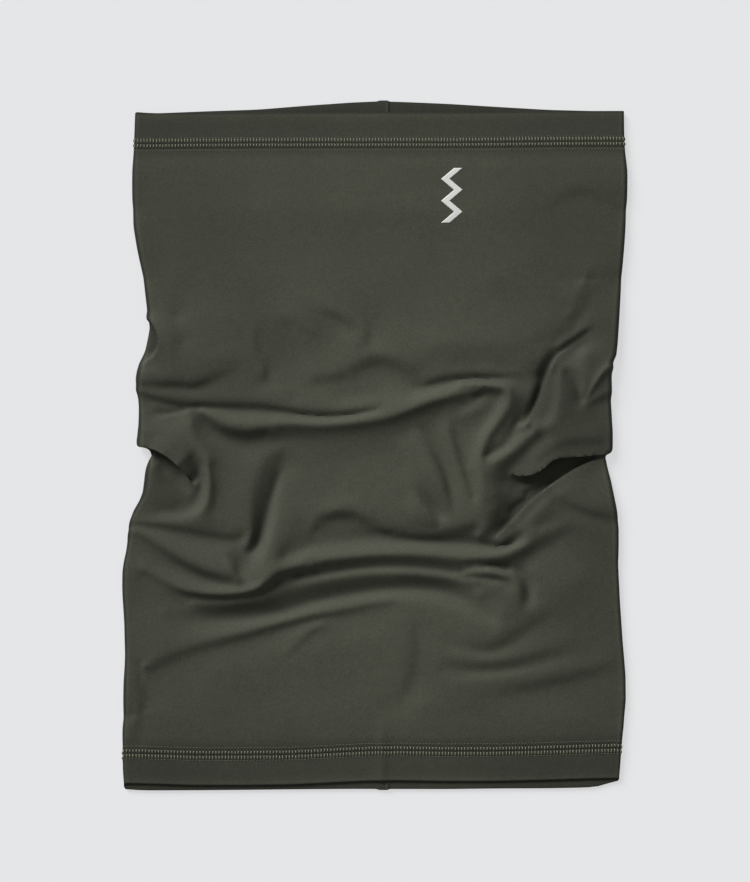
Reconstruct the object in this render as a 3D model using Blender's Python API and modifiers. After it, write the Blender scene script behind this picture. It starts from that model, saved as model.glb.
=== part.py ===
"""Neck gaiter: a knitted tube, closed by one back seam, with a coverstitched hem at each end.

The tube lies flat on its back. +X runs across it, +Y along it to the top hem, +Z up through
both layers. The origin is under the middle of the part, on the surface that it lies on.
Every sheet here is a grid that is wrapped round the tube and then thickened.
"""
import math

import bmesh
import bpy
import numpy as np

MM = 0.001

# Driving dimensions of the tube, lying flat.
HALF_WIDTH = 129.0 * MM
FABRIC = 0.8 * MM             # double-knit jersey
PLY_GAP = 0.3 * MM            # air between two plies that touch on the real part
HEM_HEIGHT = 12.0 * MM        # outside height of the flattened tube at its ends
CROWN_HEIGHT = 20.0 * MM      # outside height of the rumpled middle
HEM_LINE = 150.0 * MM         # |y| where the crown starts to rise
CROWN_LINE = 100.0 * MM       # |y| where the crown is at its full height

# Ends of the tube: how far each end reaches at its corners, and how much further (or less
# far) its back and front layers reach at mid width.
TOP_REACH = {"corner": 170.5 * MM, "back": 6.0 * MM, "front": 0.0}
BOTTOM_REACH = {"corner": 173.5 * MM, "back": 3.0 * MM, "front": -2.0 * MM}

# Side outline as (y, left x, right x): full at the hems, drawn in where the middle folds.
OUTLINE = [
    (-173 * MM, -129 * MM, 125 * MM), (-120 * MM, -128 * MM, 128 * MM),
    (-79 * MM, -128 * MM, 125 * MM), (-43 * MM, -126 * MM, 124 * MM),
    (-6 * MM, -114 * MM, 118 * MM), (28 * MM, -121 * MM, 121 * MM),
    (44 * MM, -119 * MM, 122 * MM), (64 * MM, -115 * MM, 124 * MM),
    (95 * MM, -120 * MM, 127 * MM), (125 * MM, -123 * MM, 129 * MM),
    (171 * MM, -122 * MM, 128 * MM),
]

# Hem: folded in, held by a three-needle coverstitch that sits in a shallow groove.
HEM_TURN = 20.5 * MM          # fold to raw edge
STITCH_MIDDLE = 16.6 * MM     # fold to the middle needle row
NEEDLE_SPACING = 2.8 * MM
NEEDLE_WIDTH = 0.5 * MM
NEEDLE_THREAD = 0.2 * MM      # flattened thickness of a needle thread
LOOPER_THREAD = 0.15 * MM     # flattened thickness of a looper or cover thread
COVER_WIDTH = 2 * NEEDLE_SPACING + 0.2 * MM
THREAD_GAP = 0.1 * MM
GROOVE_DEPTH = NEEDLE_THREAD + LOOPER_THREAD + 2 * THREAD_GAP
GROOVE_HALF_WIDTH = 3.3 * MM
GROOVE_SLOPE = 1.1 * MM

# Depths of the sheets' middle surfaces under the tube's outside.
FACE_DEPTH = FABRIC / 2
GROOVE_FACE_DEPTH = GROOVE_DEPTH + FABRIC / 2
TURN_DEPTH = GROOVE_FACE_DEPTH + FABRIC + PLY_GAP
FOLD_RADIUS = (TURN_DEPTH - FACE_DEPTH) / 2
FOLD_START = FABRIC / 2 + FOLD_RADIUS
NEEDLE_DEPTH = NEEDLE_THREAD / 2
COVER_DEPTH = NEEDLE_THREAD + THREAD_GAP + LOOPER_THREAD / 2
LOOPER_DEPTH = TURN_DEPTH + FABRIC / 2 + THREAD_GAP + LOOPER_THREAD / 2

# Back seam: both allowances turn in and lie towards -X, one on the other.
SEAM_X = 6.9 * MM
SEAM_BEND_X = SEAM_X - 1.2 * MM
SEAM_FOOT_X = SEAM_X + 1.6 * MM
ALLOWANCE_END_X = SEAM_X - 6.2 * MM
ALLOWANCE_STOP = 22.5 * MM    # the allowances stop this far from each fold, clear of the turn
LOWER_PLY_Z = FABRIC / 2 + FABRIC + 0.5 * MM
UPPER_PLY_Z = LOWER_PLY_Z + FABRIC + PLY_GAP
SEAM_BEND_Z = (FABRIC / 2 + LOWER_PLY_Z) / 2
SEAM_SLOT = 0.4 * MM          # half the slot between the two edges inside each hem
SEAM_THREAD_HALF_LENGTH = 149.0 * MM

# Print on the front, near the top hem and right of the middle.
PRINT_X = 39.5 * MM
PRINT_Y = 127.5 * MM
PRINT_LENGTH = 28.0 * MM
PRINT_SWING = 3.3 * MM
PRINT_STROKE = 4.4 * MM
PRINT_STEPS = 5
PRINT_THICKNESS = 0.15 * MM

# Blank folded label, caught in the back seam near the bottom hem.
LABEL_X = SEAM_X + 2.6 * MM
LABEL_LENGTH = 24.0 * MM
LABEL_Y = -118.0 * MM
LABEL_WIDTH = 26.0 * MM
LABEL_SHEET = 0.2 * MM
LABEL_LOW_Z = 1.2 * MM
LABEL_HIGH_Z = 1.6 * MM

# Facets round the tube.
BACK_STEPS = 5
SIDE_STEPS = 6
FRONT_STEPS = 10
BODY_ROW_STEP = 12.5 * MM
BODY_ROW_LIMIT = 137.5 * MM


def outline_x(y, side):
    """Outside x of the flat tube at height y; side is -1 for left and +1 for right."""
    stations = [station[0] for station in OUTLINE]
    edge = [station[1 if side < 0 else 2] for station in OUTLINE]
    return float(np.interp(y, stations, edge))


def tube_height(y):
    """Outside height of the flattened tube: low at the hems, higher over the folded middle."""
    return float(np.interp(abs(y), [CROWN_LINE, HEM_LINE], [CROWN_HEIGHT, HEM_HEIGHT]))


def ring():
    """Samples round the tube, from the seam to +X, over the front to -X and back to the seam.

    Each is (stretch, fraction along it).
    """
    samples = [("back_right", i / BACK_STEPS) for i in range(BACK_STEPS)]
    samples += [("right_side", i / SIDE_STEPS) for i in range(SIDE_STEPS)]
    samples += [("front", i / FRONT_STEPS) for i in range(FRONT_STEPS)]
    samples += [("left_side", i / SIDE_STEPS) for i in range(SIDE_STEPS)]
    samples += [("back_left", i / BACK_STEPS) for i in range(BACK_STEPS + 1)]
    return samples


def section_point(sample, y, depth, seam_foot, seam_bend):
    """x and z of one sample on the flattened section at y, at a depth under the outside."""
    stretch, fraction = sample
    height = tube_height(y)
    radius = height / 2
    right = outline_x(y, 1) - radius
    left = outline_x(y, -1) + radius
    if stretch == "back_right":
        return seam_foot + (right - seam_foot) * fraction, depth
    if stretch == "front":
        return right + (left - right) * fraction, height - depth
    if stretch == "back_left":
        return left + (seam_bend - left) * fraction, depth
    centre = right if stretch == "right_side" else left
    turn = math.pi * (fraction - 0.5)
    if stretch == "left_side":
        turn += math.pi
    reach = radius - depth
    return centre + reach * math.cos(turn), radius + reach * math.sin(turn)


def end_y(end, x, z, from_fold):
    """y at a distance from the folded edge of one end; end is +1 for the top."""
    reach = TOP_REACH if end > 0 else BOTTOM_REACH
    frontness = min(1.0, max(0.0, z / HEM_HEIGHT))
    bow = 1 - (x / HALF_WIDTH) ** 2
    extra = reach["back"] * (1 - frontness) + reach["front"] * frontness
    return end * (reach["corner"] + bow * extra - from_fold)


def tube_point(sample, row, seam_foot=SEAM_X + SEAM_SLOT, seam_bend=SEAM_X - SEAM_SLOT):
    """A point of the wrapped tube. A row is (end, distance from its fold, depth)."""
    end, distance, depth = row
    if end == 0:
        y = distance
    else:
        x, z = section_point(sample, end * HEM_LINE, depth, seam_foot, seam_bend)
        y = end_y(end, x, z, distance)
    x, z = section_point(sample, y, depth, seam_foot, seam_bend)
    return x, y, z


def hem_rows(end):
    """Rows of the body panel at one end, from the body out to the fold and in to the raw edge."""
    near = STITCH_MIDDLE + GROOVE_HALF_WIDTH
    far = STITCH_MIDDLE - GROOVE_HALF_WIDTH
    rows = [
        (end, ALLOWANCE_STOP, FACE_DEPTH),
        (end, near + GROOVE_SLOPE, FACE_DEPTH),
        (end, near, GROOVE_FACE_DEPTH),
        (end, far, GROOVE_FACE_DEPTH),
        (end, far - GROOVE_SLOPE, FACE_DEPTH),
    ]
    fold_steps = 4
    for i in range(fold_steps + 1):
        turn = math.pi * i / fold_steps
        rows.append((end, FOLD_START - FOLD_RADIUS * math.sin(turn),
                     FACE_DEPTH + FOLD_RADIUS * (1 - math.cos(turn))))
    rows.append((end, STITCH_MIDDLE, TURN_DEPTH))
    rows.append((end, HEM_TURN, TURN_DEPTH))
    return rows


def allowance_section():
    """x and z of the two seam allowances beyond the panel's two long edges.

    The first list starts at the upper ply's raw edge and ends beside the panel's first
    column; the second starts beside the last column and ends at the lower ply's raw edge.
    """
    middle_x = (ALLOWANCE_END_X + SEAM_BEND_X) / 2
    upper_radius = UPPER_PLY_Z - SEAM_BEND_Z
    lower_radius = LOWER_PLY_Z - SEAM_BEND_Z
    upper = [(ALLOWANCE_END_X, UPPER_PLY_Z), (middle_x, UPPER_PLY_Z)]
    for degrees in (90, 60, 30, 0):
        turn = math.radians(degrees)
        upper.append((SEAM_BEND_X + upper_radius * math.cos(turn),
                      SEAM_BEND_Z + upper_radius * math.sin(turn)))
    upper.append((SEAM_BEND_X + upper_radius + 0.3 * MM, 0.6 * MM))
    lower = []
    for degrees in (-45, 0, 45, 90):
        turn = math.radians(degrees)
        lower.append((SEAM_BEND_X + lower_radius * math.cos(turn),
                      SEAM_BEND_Z + lower_radius * math.sin(turn)))
    lower += [(middle_x, LOWER_PLY_Z), (ALLOWANCE_END_X, LOWER_PLY_Z)]
    return upper, lower


def make_material(name, colour, roughness):
    material = bpy.data.materials.new(name)
    material.use_nodes = True
    shader = material.node_tree.nodes["Principled BSDF"]
    shader.inputs["Base Color"].default_value = (*colour, 1.0)
    shader.inputs["Roughness"].default_value = roughness
    shader.inputs["Metallic"].default_value = 0.0
    return material


def add_sheet(name, columns, rows, place, thickness, material, keep=None):
    """A grid of columns by rows, bent by place(column, row) and thickened about its middle."""
    mesh = bpy.data.meshes.new(name)
    cage = bmesh.new()
    bmesh.ops.create_grid(cage, x_segments=columns - 1, y_segments=rows - 1, size=1.0)
    cells = {}
    for vertex in cage.verts:
        column = round((vertex.co.x + 1) / 2 * (columns - 1))
        row = round((vertex.co.y + 1) / 2 * (rows - 1))
        cells[vertex] = (column, row)
    if keep is not None:
        unwanted = []
        for face in cage.faces:
            column = min(cells[vertex][0] for vertex in face.verts)
            row = min(cells[vertex][1] for vertex in face.verts)
            if not keep(column, row):
                unwanted.append(face)
        bmesh.ops.delete(cage, geom=unwanted, context="FACES")
    for vertex in cage.verts:
        vertex.co = place(*cells[vertex])
    cage.to_mesh(mesh)
    cage.free()
    sheet = bpy.data.objects.new(name, mesh)
    parts.objects.link(sheet)
    mesh.materials.append(material)
    mesh.shade_smooth()
    mesh.set_sharp_from_angle(angle=math.radians(40))
    solidify = sheet.modifiers.new("thickness", "SOLIDIFY")
    solidify.thickness = thickness
    solidify.offset = 0.0
    solidify.use_even_offset = True
    solidify.use_quality_normals = True
    return sheet


def add_body_panel(material):
    """One cut of jersey: round the tube, turned in at both ends and at both long edges."""
    samples = ring()
    upper, lower = allowance_section()
    first_hem = hem_rows(-1)[::-1]
    last_hem = hem_rows(1)
    body_count = round(2 * BODY_ROW_LIMIT / BODY_ROW_STEP) + 1
    body = [(0, -BODY_ROW_LIMIT + BODY_ROW_STEP * i, FACE_DEPTH) for i in range(body_count)]
    rows = first_hem + body + last_hem
    columns = len(upper) + len(samples) + len(lower)
    first_allowance_row = len(first_hem) - 1
    last_allowance_row = len(first_hem) + body_count

    def place(column, row):
        in_seam = first_allowance_row <= row <= last_allowance_row
        foot = SEAM_FOOT_X if in_seam else SEAM_X + SEAM_SLOT
        bend = SEAM_BEND_X if in_seam else SEAM_X - SEAM_SLOT
        around = column - len(upper)
        if 0 <= around < len(samples):
            return tube_point(samples[around], rows[row], foot, bend)
        nearest = samples[0] if around < 0 else samples[-1]
        y = tube_point(nearest, rows[row], foot, bend)[1]
        x, z = upper[column] if around < 0 else lower[around - len(samples)]
        return x, y, z

    def keep(column, row):
        in_tube = len(upper) <= column < len(upper) + len(samples) - 1
        in_seam = first_allowance_row <= row < last_allowance_row
        return in_tube or in_seam

    add_sheet("body_panel", columns, len(rows), place, FABRIC, material, keep)


def add_hem_band(name, end, middle, width, depth, thickness, material):
    """A flattened thread that runs round one hem, open only at the back seam."""
    samples = ring()
    edges = (middle - width / 2, middle + width / 2)

    def place(column, row):
        return tube_point(samples[column], (end, edges[row], depth))

    add_sheet(name, len(samples), 2, place, thickness, material)


def add_hem_stitch(prefix, end, material):
    """Three needle threads on the face, a cover thread under them and a looper thread inside."""
    for i in range(3):
        middle = STITCH_MIDDLE + (i - 1) * NEEDLE_SPACING
        add_hem_band(f"{prefix}_needle_thread_{i + 1}", end, middle, NEEDLE_WIDTH,
                     NEEDLE_DEPTH, NEEDLE_THREAD, material)
    add_hem_band(f"{prefix}_cover_thread", end, STITCH_MIDDLE, COVER_WIDTH,
                 COVER_DEPTH, LOOPER_THREAD, material)
    add_hem_band(f"{prefix}_looper_thread", end, STITCH_MIDDLE, COVER_WIDTH,
                 LOOPER_DEPTH, LOOPER_THREAD, material)


def add_seam_band(name, left, right, z, thickness, material):
    """A flattened thread that runs the length of the back seam, on or under its allowances."""
    steps = 8

    def place(column, row):
        y = SEAM_THREAD_HALF_LENGTH * (2 * row / steps - 1)
        return (left, right)[column], y, z

    add_sheet(name, 2, steps + 1, place, thickness, material)


def add_back_seam(material):
    """Four-thread overlock: two needle threads, and a looper thread on each side."""
    top = UPPER_PLY_Z + FABRIC / 2 + THREAD_GAP
    looper_z = top + LOOPER_THREAD / 2
    needle_z = top + LOOPER_THREAD + THREAD_GAP + NEEDLE_THREAD / 2
    under_z = LOWER_PLY_Z - FABRIC / 2 - THREAD_GAP - LOOPER_THREAD
    outer_x = ALLOWANCE_END_X
    add_seam_band("back_seam_upper_looper", outer_x, outer_x + 4.2 * MM, looper_z,
                  LOOPER_THREAD, material)
    add_seam_band("back_seam_lower_looper", outer_x, outer_x + 3.0 * MM, under_z,
                  LOOPER_THREAD, material)
    for side, distance in (("left", 1.6 * MM), ("right", 3.8 * MM)):
        middle = outer_x + distance
        add_seam_band(f"back_seam_needle_thread_{side}", middle - NEEDLE_WIDTH / 2,
                      middle + NEEDLE_WIDTH / 2, needle_z, NEEDLE_THREAD, material)


def add_front_print(material):
    """A zigzag of flexible ink along Y, laid on the slope between the hem and the crown."""
    mesh_curve = bpy.data.curves.new("front_print", "CURVE")
    mesh_curve.dimensions = "2D"
    mesh_curve.fill_mode = "BOTH"
    mesh_curve.extrude = PRINT_THICKNESS / 2
    slope = math.atan2(CROWN_HEIGHT - HEM_HEIGHT, HEM_LINE - CROWN_LINE)
    outline = []
    for side, order in ((-1, range(PRINT_STEPS + 1)), (1, range(PRINT_STEPS, -1, -1))):
        for i in order:
            swing = PRINT_SWING if i % 2 else -PRINT_SWING
            y = PRINT_LENGTH * (i / PRINT_STEPS - 0.5)
            outline.append((swing + side * PRINT_STROKE / 2, y))
    spline = mesh_curve.splines.new("POLY")
    spline.points.add(len(outline) - 1)
    for point, (x, y) in zip(spline.points, outline):
        point.co = (x, y, 0.0, 1.0)
    spline.use_cyclic_u = True
    mark = bpy.data.objects.new("front_print", mesh_curve)
    parts.objects.link(mark)
    mesh_curve.materials.append(material)
    lift = THREAD_GAP + PRINT_THICKNESS / 2
    mark.location = (PRINT_X, PRINT_Y, tube_height(PRINT_Y) + lift)
    mark.rotation_euler = (-slope, 0.0, 0.0)


def add_care_label(material):
    """A blank tape folded double, its ends at the seam and its fold towards +X."""
    fold_radius = (LABEL_HIGH_Z - LABEL_LOW_Z) / 2
    fold_x = LABEL_X + LABEL_LENGTH
    profile = [(LABEL_X, LABEL_LOW_Z)]
    for degrees in (-90, -45, 0, 45, 90):
        turn = math.radians(degrees)
        profile.append((fold_x + fold_radius * math.cos(turn),
                        LABEL_LOW_Z + fold_radius * (1 + math.sin(turn))))
    profile.append((LABEL_X, LABEL_HIGH_Z))

    def place(column, row):
        x, z = profile[column]
        return x, LABEL_Y + LABEL_WIDTH * (row - 0.5), z

    add_sheet("care_label", len(profile), 2, place, LABEL_SHEET, material)


for old in list(bpy.data.objects):
    bpy.data.objects.remove(old, do_unlink=True)
parts = bpy.data.collections.new("neck_gaiter")
bpy.context.scene.collection.children.link(parts)

jersey = make_material("olive_jersey", (0.062, 0.064, 0.050), 0.85)
thread = make_material("olive_thread", (0.110, 0.113, 0.088), 0.60)
ink = make_material("white_ink", (0.80, 0.80, 0.80), 0.55)
tape = make_material("white_tape", (0.72, 0.72, 0.70), 0.70)

add_body_panel(jersey)
add_hem_stitch("top_hem", 1, thread)
add_hem_stitch("bottom_hem", -1, thread)
add_back_seam(thread)
add_front_print(ink)
add_care_label(tape)
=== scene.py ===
"""Neck gaiter lying flat and rumpled, as an olive jersey tube with coverstitched hems.

Every size is in mm in the part's own frame, until make_piece turns it into metres.
"""
import math

import bpy
import numpy as np
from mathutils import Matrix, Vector


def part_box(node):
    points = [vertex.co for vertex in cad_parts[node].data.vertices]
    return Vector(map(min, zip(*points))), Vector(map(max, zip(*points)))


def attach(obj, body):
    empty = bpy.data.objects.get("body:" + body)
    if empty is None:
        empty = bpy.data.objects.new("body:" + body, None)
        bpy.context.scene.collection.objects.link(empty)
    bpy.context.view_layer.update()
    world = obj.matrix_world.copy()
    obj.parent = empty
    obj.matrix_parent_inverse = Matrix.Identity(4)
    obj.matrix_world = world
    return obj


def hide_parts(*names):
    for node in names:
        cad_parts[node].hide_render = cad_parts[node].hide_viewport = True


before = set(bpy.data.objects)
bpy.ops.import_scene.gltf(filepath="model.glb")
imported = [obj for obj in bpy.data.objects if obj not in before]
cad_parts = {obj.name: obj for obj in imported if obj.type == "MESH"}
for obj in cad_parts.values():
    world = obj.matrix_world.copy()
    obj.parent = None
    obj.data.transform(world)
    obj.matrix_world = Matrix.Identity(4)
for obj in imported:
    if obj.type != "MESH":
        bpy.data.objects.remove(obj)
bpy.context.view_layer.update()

MM = 0.001

# Cloth
FABRIC = 0.8          # thickness of the jersey
TUBE_LENGTH = 385.0   # of cloth from one hem's fold to the other's
BACK_Z = 0.05         # outside of the back layer above the floor
SIDE_RADIUS = 1.5     # of the side folds
KNIT_WALE = 0.62      # width of a column of knitted loops
KNIT_COURSE = 0.48    # height of a row of knitted loops
HEM_LEFT, HEM_RIGHT = -123, 127
# Stations (y, x) of the tube's two side outlines
LEFT = [(178, -122), (171, -122.5), (150, -123), (125, -123.2), (112, -122.5), (100, -120.5), (85, -117.5),
    (75, -116), (65, -114.6), (55, -116.3), (45, -118.5), (35, -120.5), (28, -121.3), (20, -120.3),
    (10, -119.7), (3, -120.1), (0.4, -119.9), (-0.6, -119.2), (-1.6, -114.2), (-2.4, -113.4), (-6, -114.6),
    (-12, -115.5), (-20, -116.5), (-26, -117.8), (-30, -120.5), (-36, -123.8), (-42, -125.2), (-52, -126.3),
    (-62, -128.2), (-75, -128.4), (-88, -127.6), (-110, -127.2), (-135, -127.8), (-150, -128.6),
    (-165, -128.8), (-178, -128.4)]
RIGHT = [(178, 127.6), (171, 127.8), (155, 127.8), (140, 128.6), (125, 128.6), (110, 127.6), (95, 126.4),
    (80, 125.4), (65, 124.2), (52, 123.2), (46, 122.4), (42.5, 120.4), (38, 119.9), (25, 119.9),
    (10, 120.6), (-1, 120.9), (-3.8, 120.2), (-4.8, 117.6), (-10, 118.4), (-18, 120.2), (-27, 121.6),
    (-36, 123.4), (-42, 124.4), (-60, 124.2), (-80, 125.2), (-100, 126.6), (-118, 128.2), (-130, 128.2),
    (-150, 126.6), (-165, 125.8), (-178, 125.2)]
# Stations (x, y) of the hems' folds
TOP_FRONT = [(-123, 169.6), (-115, 169.6), (-89, 169.9), (-63, 170), (0, 170.1), (40, 170.1), (64, 170.3),
    (90, 170.7), (128, 170.8)]
TOP_BACK = [(-123, 170.4), (-115, 169.6), (-90, 170.6), (-60, 171.6), (-38, 173.4), (-12, 175.2),
    (2, 175.8), (14, 175.5), (38, 174.5), (64, 172.9), (90, 171.4), (115, 170.8), (128, 170.8)]
BOTTOM_FRONT = [(-129, -172.6), (-114, -172.8), (-89, -173.6), (-63, -173.6), (-38, -173.3), (-12.5, -172),
    (0, -171.4), (13, -171.2), (38.5, -171.6), (64, -171.6), (89.5, -171), (112, -170.3), (126, -170)]
BOTTOM_BACK = [(-129, -174.6), (-124, -175.6), (-114, -176.2), (-89, -176.1), (-63, -175.9), (-38, -175.6),
    (-12, -175.4), (38, -175.5), (64, -175.2), (90, -175.1), (112, -174.7), (119, -174), (126, -171)]
OUTLINE_BLUR = 1.0    # over which the outline's corners are rounded
HEM_BLUR = 4.0        # the same for the hems' folds

# A hem's rows: mm from its fold, and how far it has turned in
HEM_ROWS = [(20.5, 1), (12, 1), (3, 1), (0.6, 0.98), (0.08, 0.8), (0, 0.5), (0.1, 0.15), (0.35, 0), (0.7, 0),
            (1.5, 0), (3, 0), (6, 0), (9, 0), (11.5, 0), (13.3, 0), (15, 0), (16.6, 0), (18.2, 0), (19.9, 0),
            (21.5, 0), (24, 0)]
FOLD_ROW = 5
OUTER_ROW = 7         # first row of the outside
TURN_GAP = 0.8        # between the cloth and its turned-in part
HEM_SINK = 0.8        # by which the hems lie flatter than the relief
HEM_LEAST = 2.7       # least height of the front layer in its hems
HEM_DEPTH = 22        # from the fold, over which that holds
BOTTOM_SINK = 0.35    # by which the front layer droops at the bottom fold
SEAM_RISE = 0.45      # by which the bottom of the front layer rises over the back seam
CURL = 0.1            # by which the back layer's bottom edge lifts
HEM_LIFT = 0.52       # by which the back hems ride above the floor on their stitches

# Cells of the cloth's grid
FRONT_COLUMNS = 260
SIDE_COLUMNS = 5
BODY_ROWS = 252
DENSE_ROWS = 1500     # stations from which the body's rows are spaced evenly over the relief

# Back seam
SEAM_X = 6.9
ALLOWANCE = 6.2
PLY = 0.42            # flattened thickness of one ply of the allowance
SEAM_HALF_LENGTH = 149.0
SEAM_SWELL = 0.55     # by which the hems bulge over the allowance
SWELL_LEFT, SWELL_RIGHT = 1.8, 7.2
GROOVE_DEPTH, GROOVE_WIDTH = 0.5, 0.55
NEAR_SEAM = [4, 3, 2.2, 1.5, 1, 0.6, 0.3, 0, -0.3, -0.6, -1, -1.5, -2.2, -3, -3.8, -4.6, -5.2, -5.8, -6.4,
             -7.2]
RIGHT_SPAN = HEM_RIGHT - SEAM_X
LEFT_SPAN = SEAM_X - HEM_LEFT

# Stitches
PITCH = 1.6           # length of a stitch
STITCHES = 316        # round each hem
MIDDLE_OF_STITCHES = 16.6    # from the hem's fold
THREAD_RADIUS = 0.29
# Paths of one stitch: mm along, mm from the fold or from the row, mm of lift
COVER_BAR = [(-0.24, 13.3, -0.15), (-0.16, 13.7, 0.12), (-0.06, 14.1, 0.26), (0.02, 14.6, 0.26),
             (0.06, 15.0, 0.12), (0.08, 15.4, -0.15)]
COVER_RADII = [0.16, 0.26, 0.28, 0.28, 0.24, 0.16]
NEEDLE_STITCH = [(-0.46, 0, -0.15), (-0.28, 0, 0.12), (0, 0.04, 0.26), (0.28, 0, 0.12), (0.46, 0, -0.15)]
MIDDLE_STITCH = [(-0.10, -0.85, -0.15), (-0.06, -0.6, 0.14), (0, 0, 0.34), (0.06, 0.6, 0.14),
                 (0.10, 0.85, -0.15)]
NEEDLE_TAPER = np.array([0.6, 0.9, 1.0, 0.9, 0.6])
# Needle rows: mm from the fold, radius, path
NEEDLE_ROWS = ((12.9, 0.12, NEEDLE_STITCH), (16.9, THREAD_RADIUS, MIDDLE_STITCH), (19.4, 0.12, NEEDLE_STITCH))
# Dots at the needles: mm from the fold, half width, half height, and darkness, which is painted shade
HOLES_AND_SHADE = [(13.0, 0.36, 0.45, 0.75), (15.6, 0.52, 0.50, 0.95), (16.7, 0.40, 1.20, 0.95), (14.4, 0.34, 1.0, 0.7),
         (18.1, 0.52, 0.50, 0.85), (19.6, 0.3, 0.4, 0.4)]

# Colours, and shares of light
JERSEY = (0.0493, 0.0522, 0.0367)
THREAD = (0.150, 0.156, 0.107)
TAPE = (0.62, 0.62, 0.60)
INK = (0.60, 0.61, 0.58)
GRAIN = 0.85          # fine unevenness of the yarn
SLUB = 0.42           # coarser unevenness
PATCH = 0.28          # broad unevenness
CAVITY = 0.40         # painted shade at the bottom of a deep valley
SIDE_SHADE_LEFT = 0.16     # painted shade towards the side folds, where the light falls off
SIDE_SHADE_RIGHT = 0.18
HEM_SHADE = 0.25      # darker on the hems
FOLD_SHADES = {3: 0.9, 4: 0.5, 5: 0.35, 6: 0.28, 7: 0.3, 8: 1.0, 9: 1.28, 10: 1.1}    # painted shade along a hem's crease and painted highlight on its rim, by row of a hem
SIDE_SHADES = (0.75, 0.4, 0.4, 0.6, 0.9)    # painted shade on the columns round a side fold
SIDE_RIM_HIGHLIGHT = 1.14       # painted highlight on the cloth just inside a side fold
LIT_SIDE = 0.5        # further painted shade on the side fold that faces the light
INNER_SHADE = 0.72    # turned-in part of the back layer at the top
SHARP = 48            # degrees of bend from which a fold is shaded as an edge
AMBIENT = 0.29        # share of the light that comes from all round

# Relief of the front layer
X0, X1, Y0, Y1 = -135.0, 135.0, -180.0, 180.0    # its edges
STEP = 0.75           # its grid
COARSE_STEPS = (6, 3, 1.5)
LOWEST = 1.7          # its least height
START_HEIGHT = 4.5
TENSION = 0.25        # against a bending stiffness of 1
HOLD = 30.0           # with which the lines hold it
POINT_SHARE = 0.6     # of the grid's step, between the points along a line
POINT_STEP = 0.8      # and never more than this
MOST_ROUNDS = 500
TOLERANCE = 1e-4

# Overhangs
LIP_WIDTH = 1.8       # from a crest to its foot
EASE = 0.8            # of the crest's own rounding that an overhang hides
FULL_DROP = 2.0       # drop from which an overhang has its whole strength
REACH_BEHIND = 3.0    # over which the cloth behind a crest moves with it
END_FADE = 1.5        # over which an overhang fades past the crest's ends
NEARBY = 9            # round a crest that its overhang can touch
CREST_STEP = 0.4      # between the stations along a crest
EVEN_FROM = 3.0       # behind a pushed crest, from where its cloth is made even
EVEN_TO = EVEN_FROM * 0.4    # behind it, from where it is wholly even
EVEN_BASE = 2.0       # over which its slope is taken
EDGE_FADE = 0.7       # ahead of it, over which that ends
FOOT_FADE = 0.8       # before the foot, over which the folded-under part ends
MOST_SLOPE = 0.1
UNDER_SLOPE = 0.35    # fall of the folded-under part behind its edge

FOLDS = []            # lines of (x, y, z) that the front layer passes through
OVERHANGS = []        # crests to push out, as (crest, side, reach, ease, width)


def line(*points):
    """A line of (x, y, z) that the front layer passes through."""
    FOLDS.append(np.array(points, float))


def lip(*points, width=LIP_WIDTH, over=0.0, shoulder=0.0, rise=0.0):
    """A crest of (x, y, z, drop) with its foot on the right of its direction, or left if width < 0.

    With over, the crest is pushed out that far beyond its foot, and the points say where it ends up.
    With shoulder, the surface is also held at that distance behind the crest, lower by rise.
    """
    points = np.array(points, float)
    direction = np.gradient(points[:, :2], axis=0)
    direction /= np.linalg.norm(direction, axis=1)[:, None]
    right = np.stack([direction[:, 1], -direction[:, 0]], 1)
    side = right * np.sign(width)
    strength = np.clip(points[:, 3] / FULL_DROP, 0, 1) if over else np.zeros(len(points))
    reach = (abs(width) + EASE + over) * strength
    ease = EASE * strength
    z = points[:, 2]
    crest = points[:, :2] - side * (reach - ease)[:, None]
    FOLDS.append(np.column_stack([crest, z]))
    FOLDS.append(np.column_stack([crest + right * width, z - points[:, 3]]))
    if shoulder:
        FOLDS.append(np.column_stack([crest - side * shoulder, z - rise]))
    if over:
        OVERHANGS.append((crest, side, reach, ease, abs(width)))


# hems and flat upper part
line((-122, 171, 3.6), (0, 171, 3.8), (128, 171, 3.6))
line((-123, 150, 3.8), (0, 150, 4.2), (128, 150, 3.8))
line((-123.5, 120, 3.4), (-110, 120, 4.4), (-60, 120, 5), (0, 120, 5.2), (60, 120, 5), (110, 120, 4.4),
    (128, 120, 3.4))
line((-118, 85, 3.6), (-104, 85, 4.8), (-92, 84, 5), (-60, 85, 5))
line((-101, 66, 5.2), (-90, 66, 6.2), (-75, 66, 6))
line((125, 85, 3.6), (112, 85, 4.4), (60, 85, 5.2))
line((-127, -155, 3.8), (-60, -155, 4), (0, -155, 4), (60, -155, 4), (126, -155, 3.8))
line((-128, -171, 3.6), (0, -171, 3.8), (125, -171, 3.6))
line((-127, -138, 3.2), (-100, -136, 4.3), (-50, -136, 4.8), (-5, -136, 4.8))
line((36, -138, 4.8), (70, -138, 4.6), (100, -138, 4.4), (127, -138, 3.2))
line((-127, -90, 3.4), (-127, -104, 3.2))
line((125, -60, 3.4), (126, -90, 3.4), (128, -120, 3.2))

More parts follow.
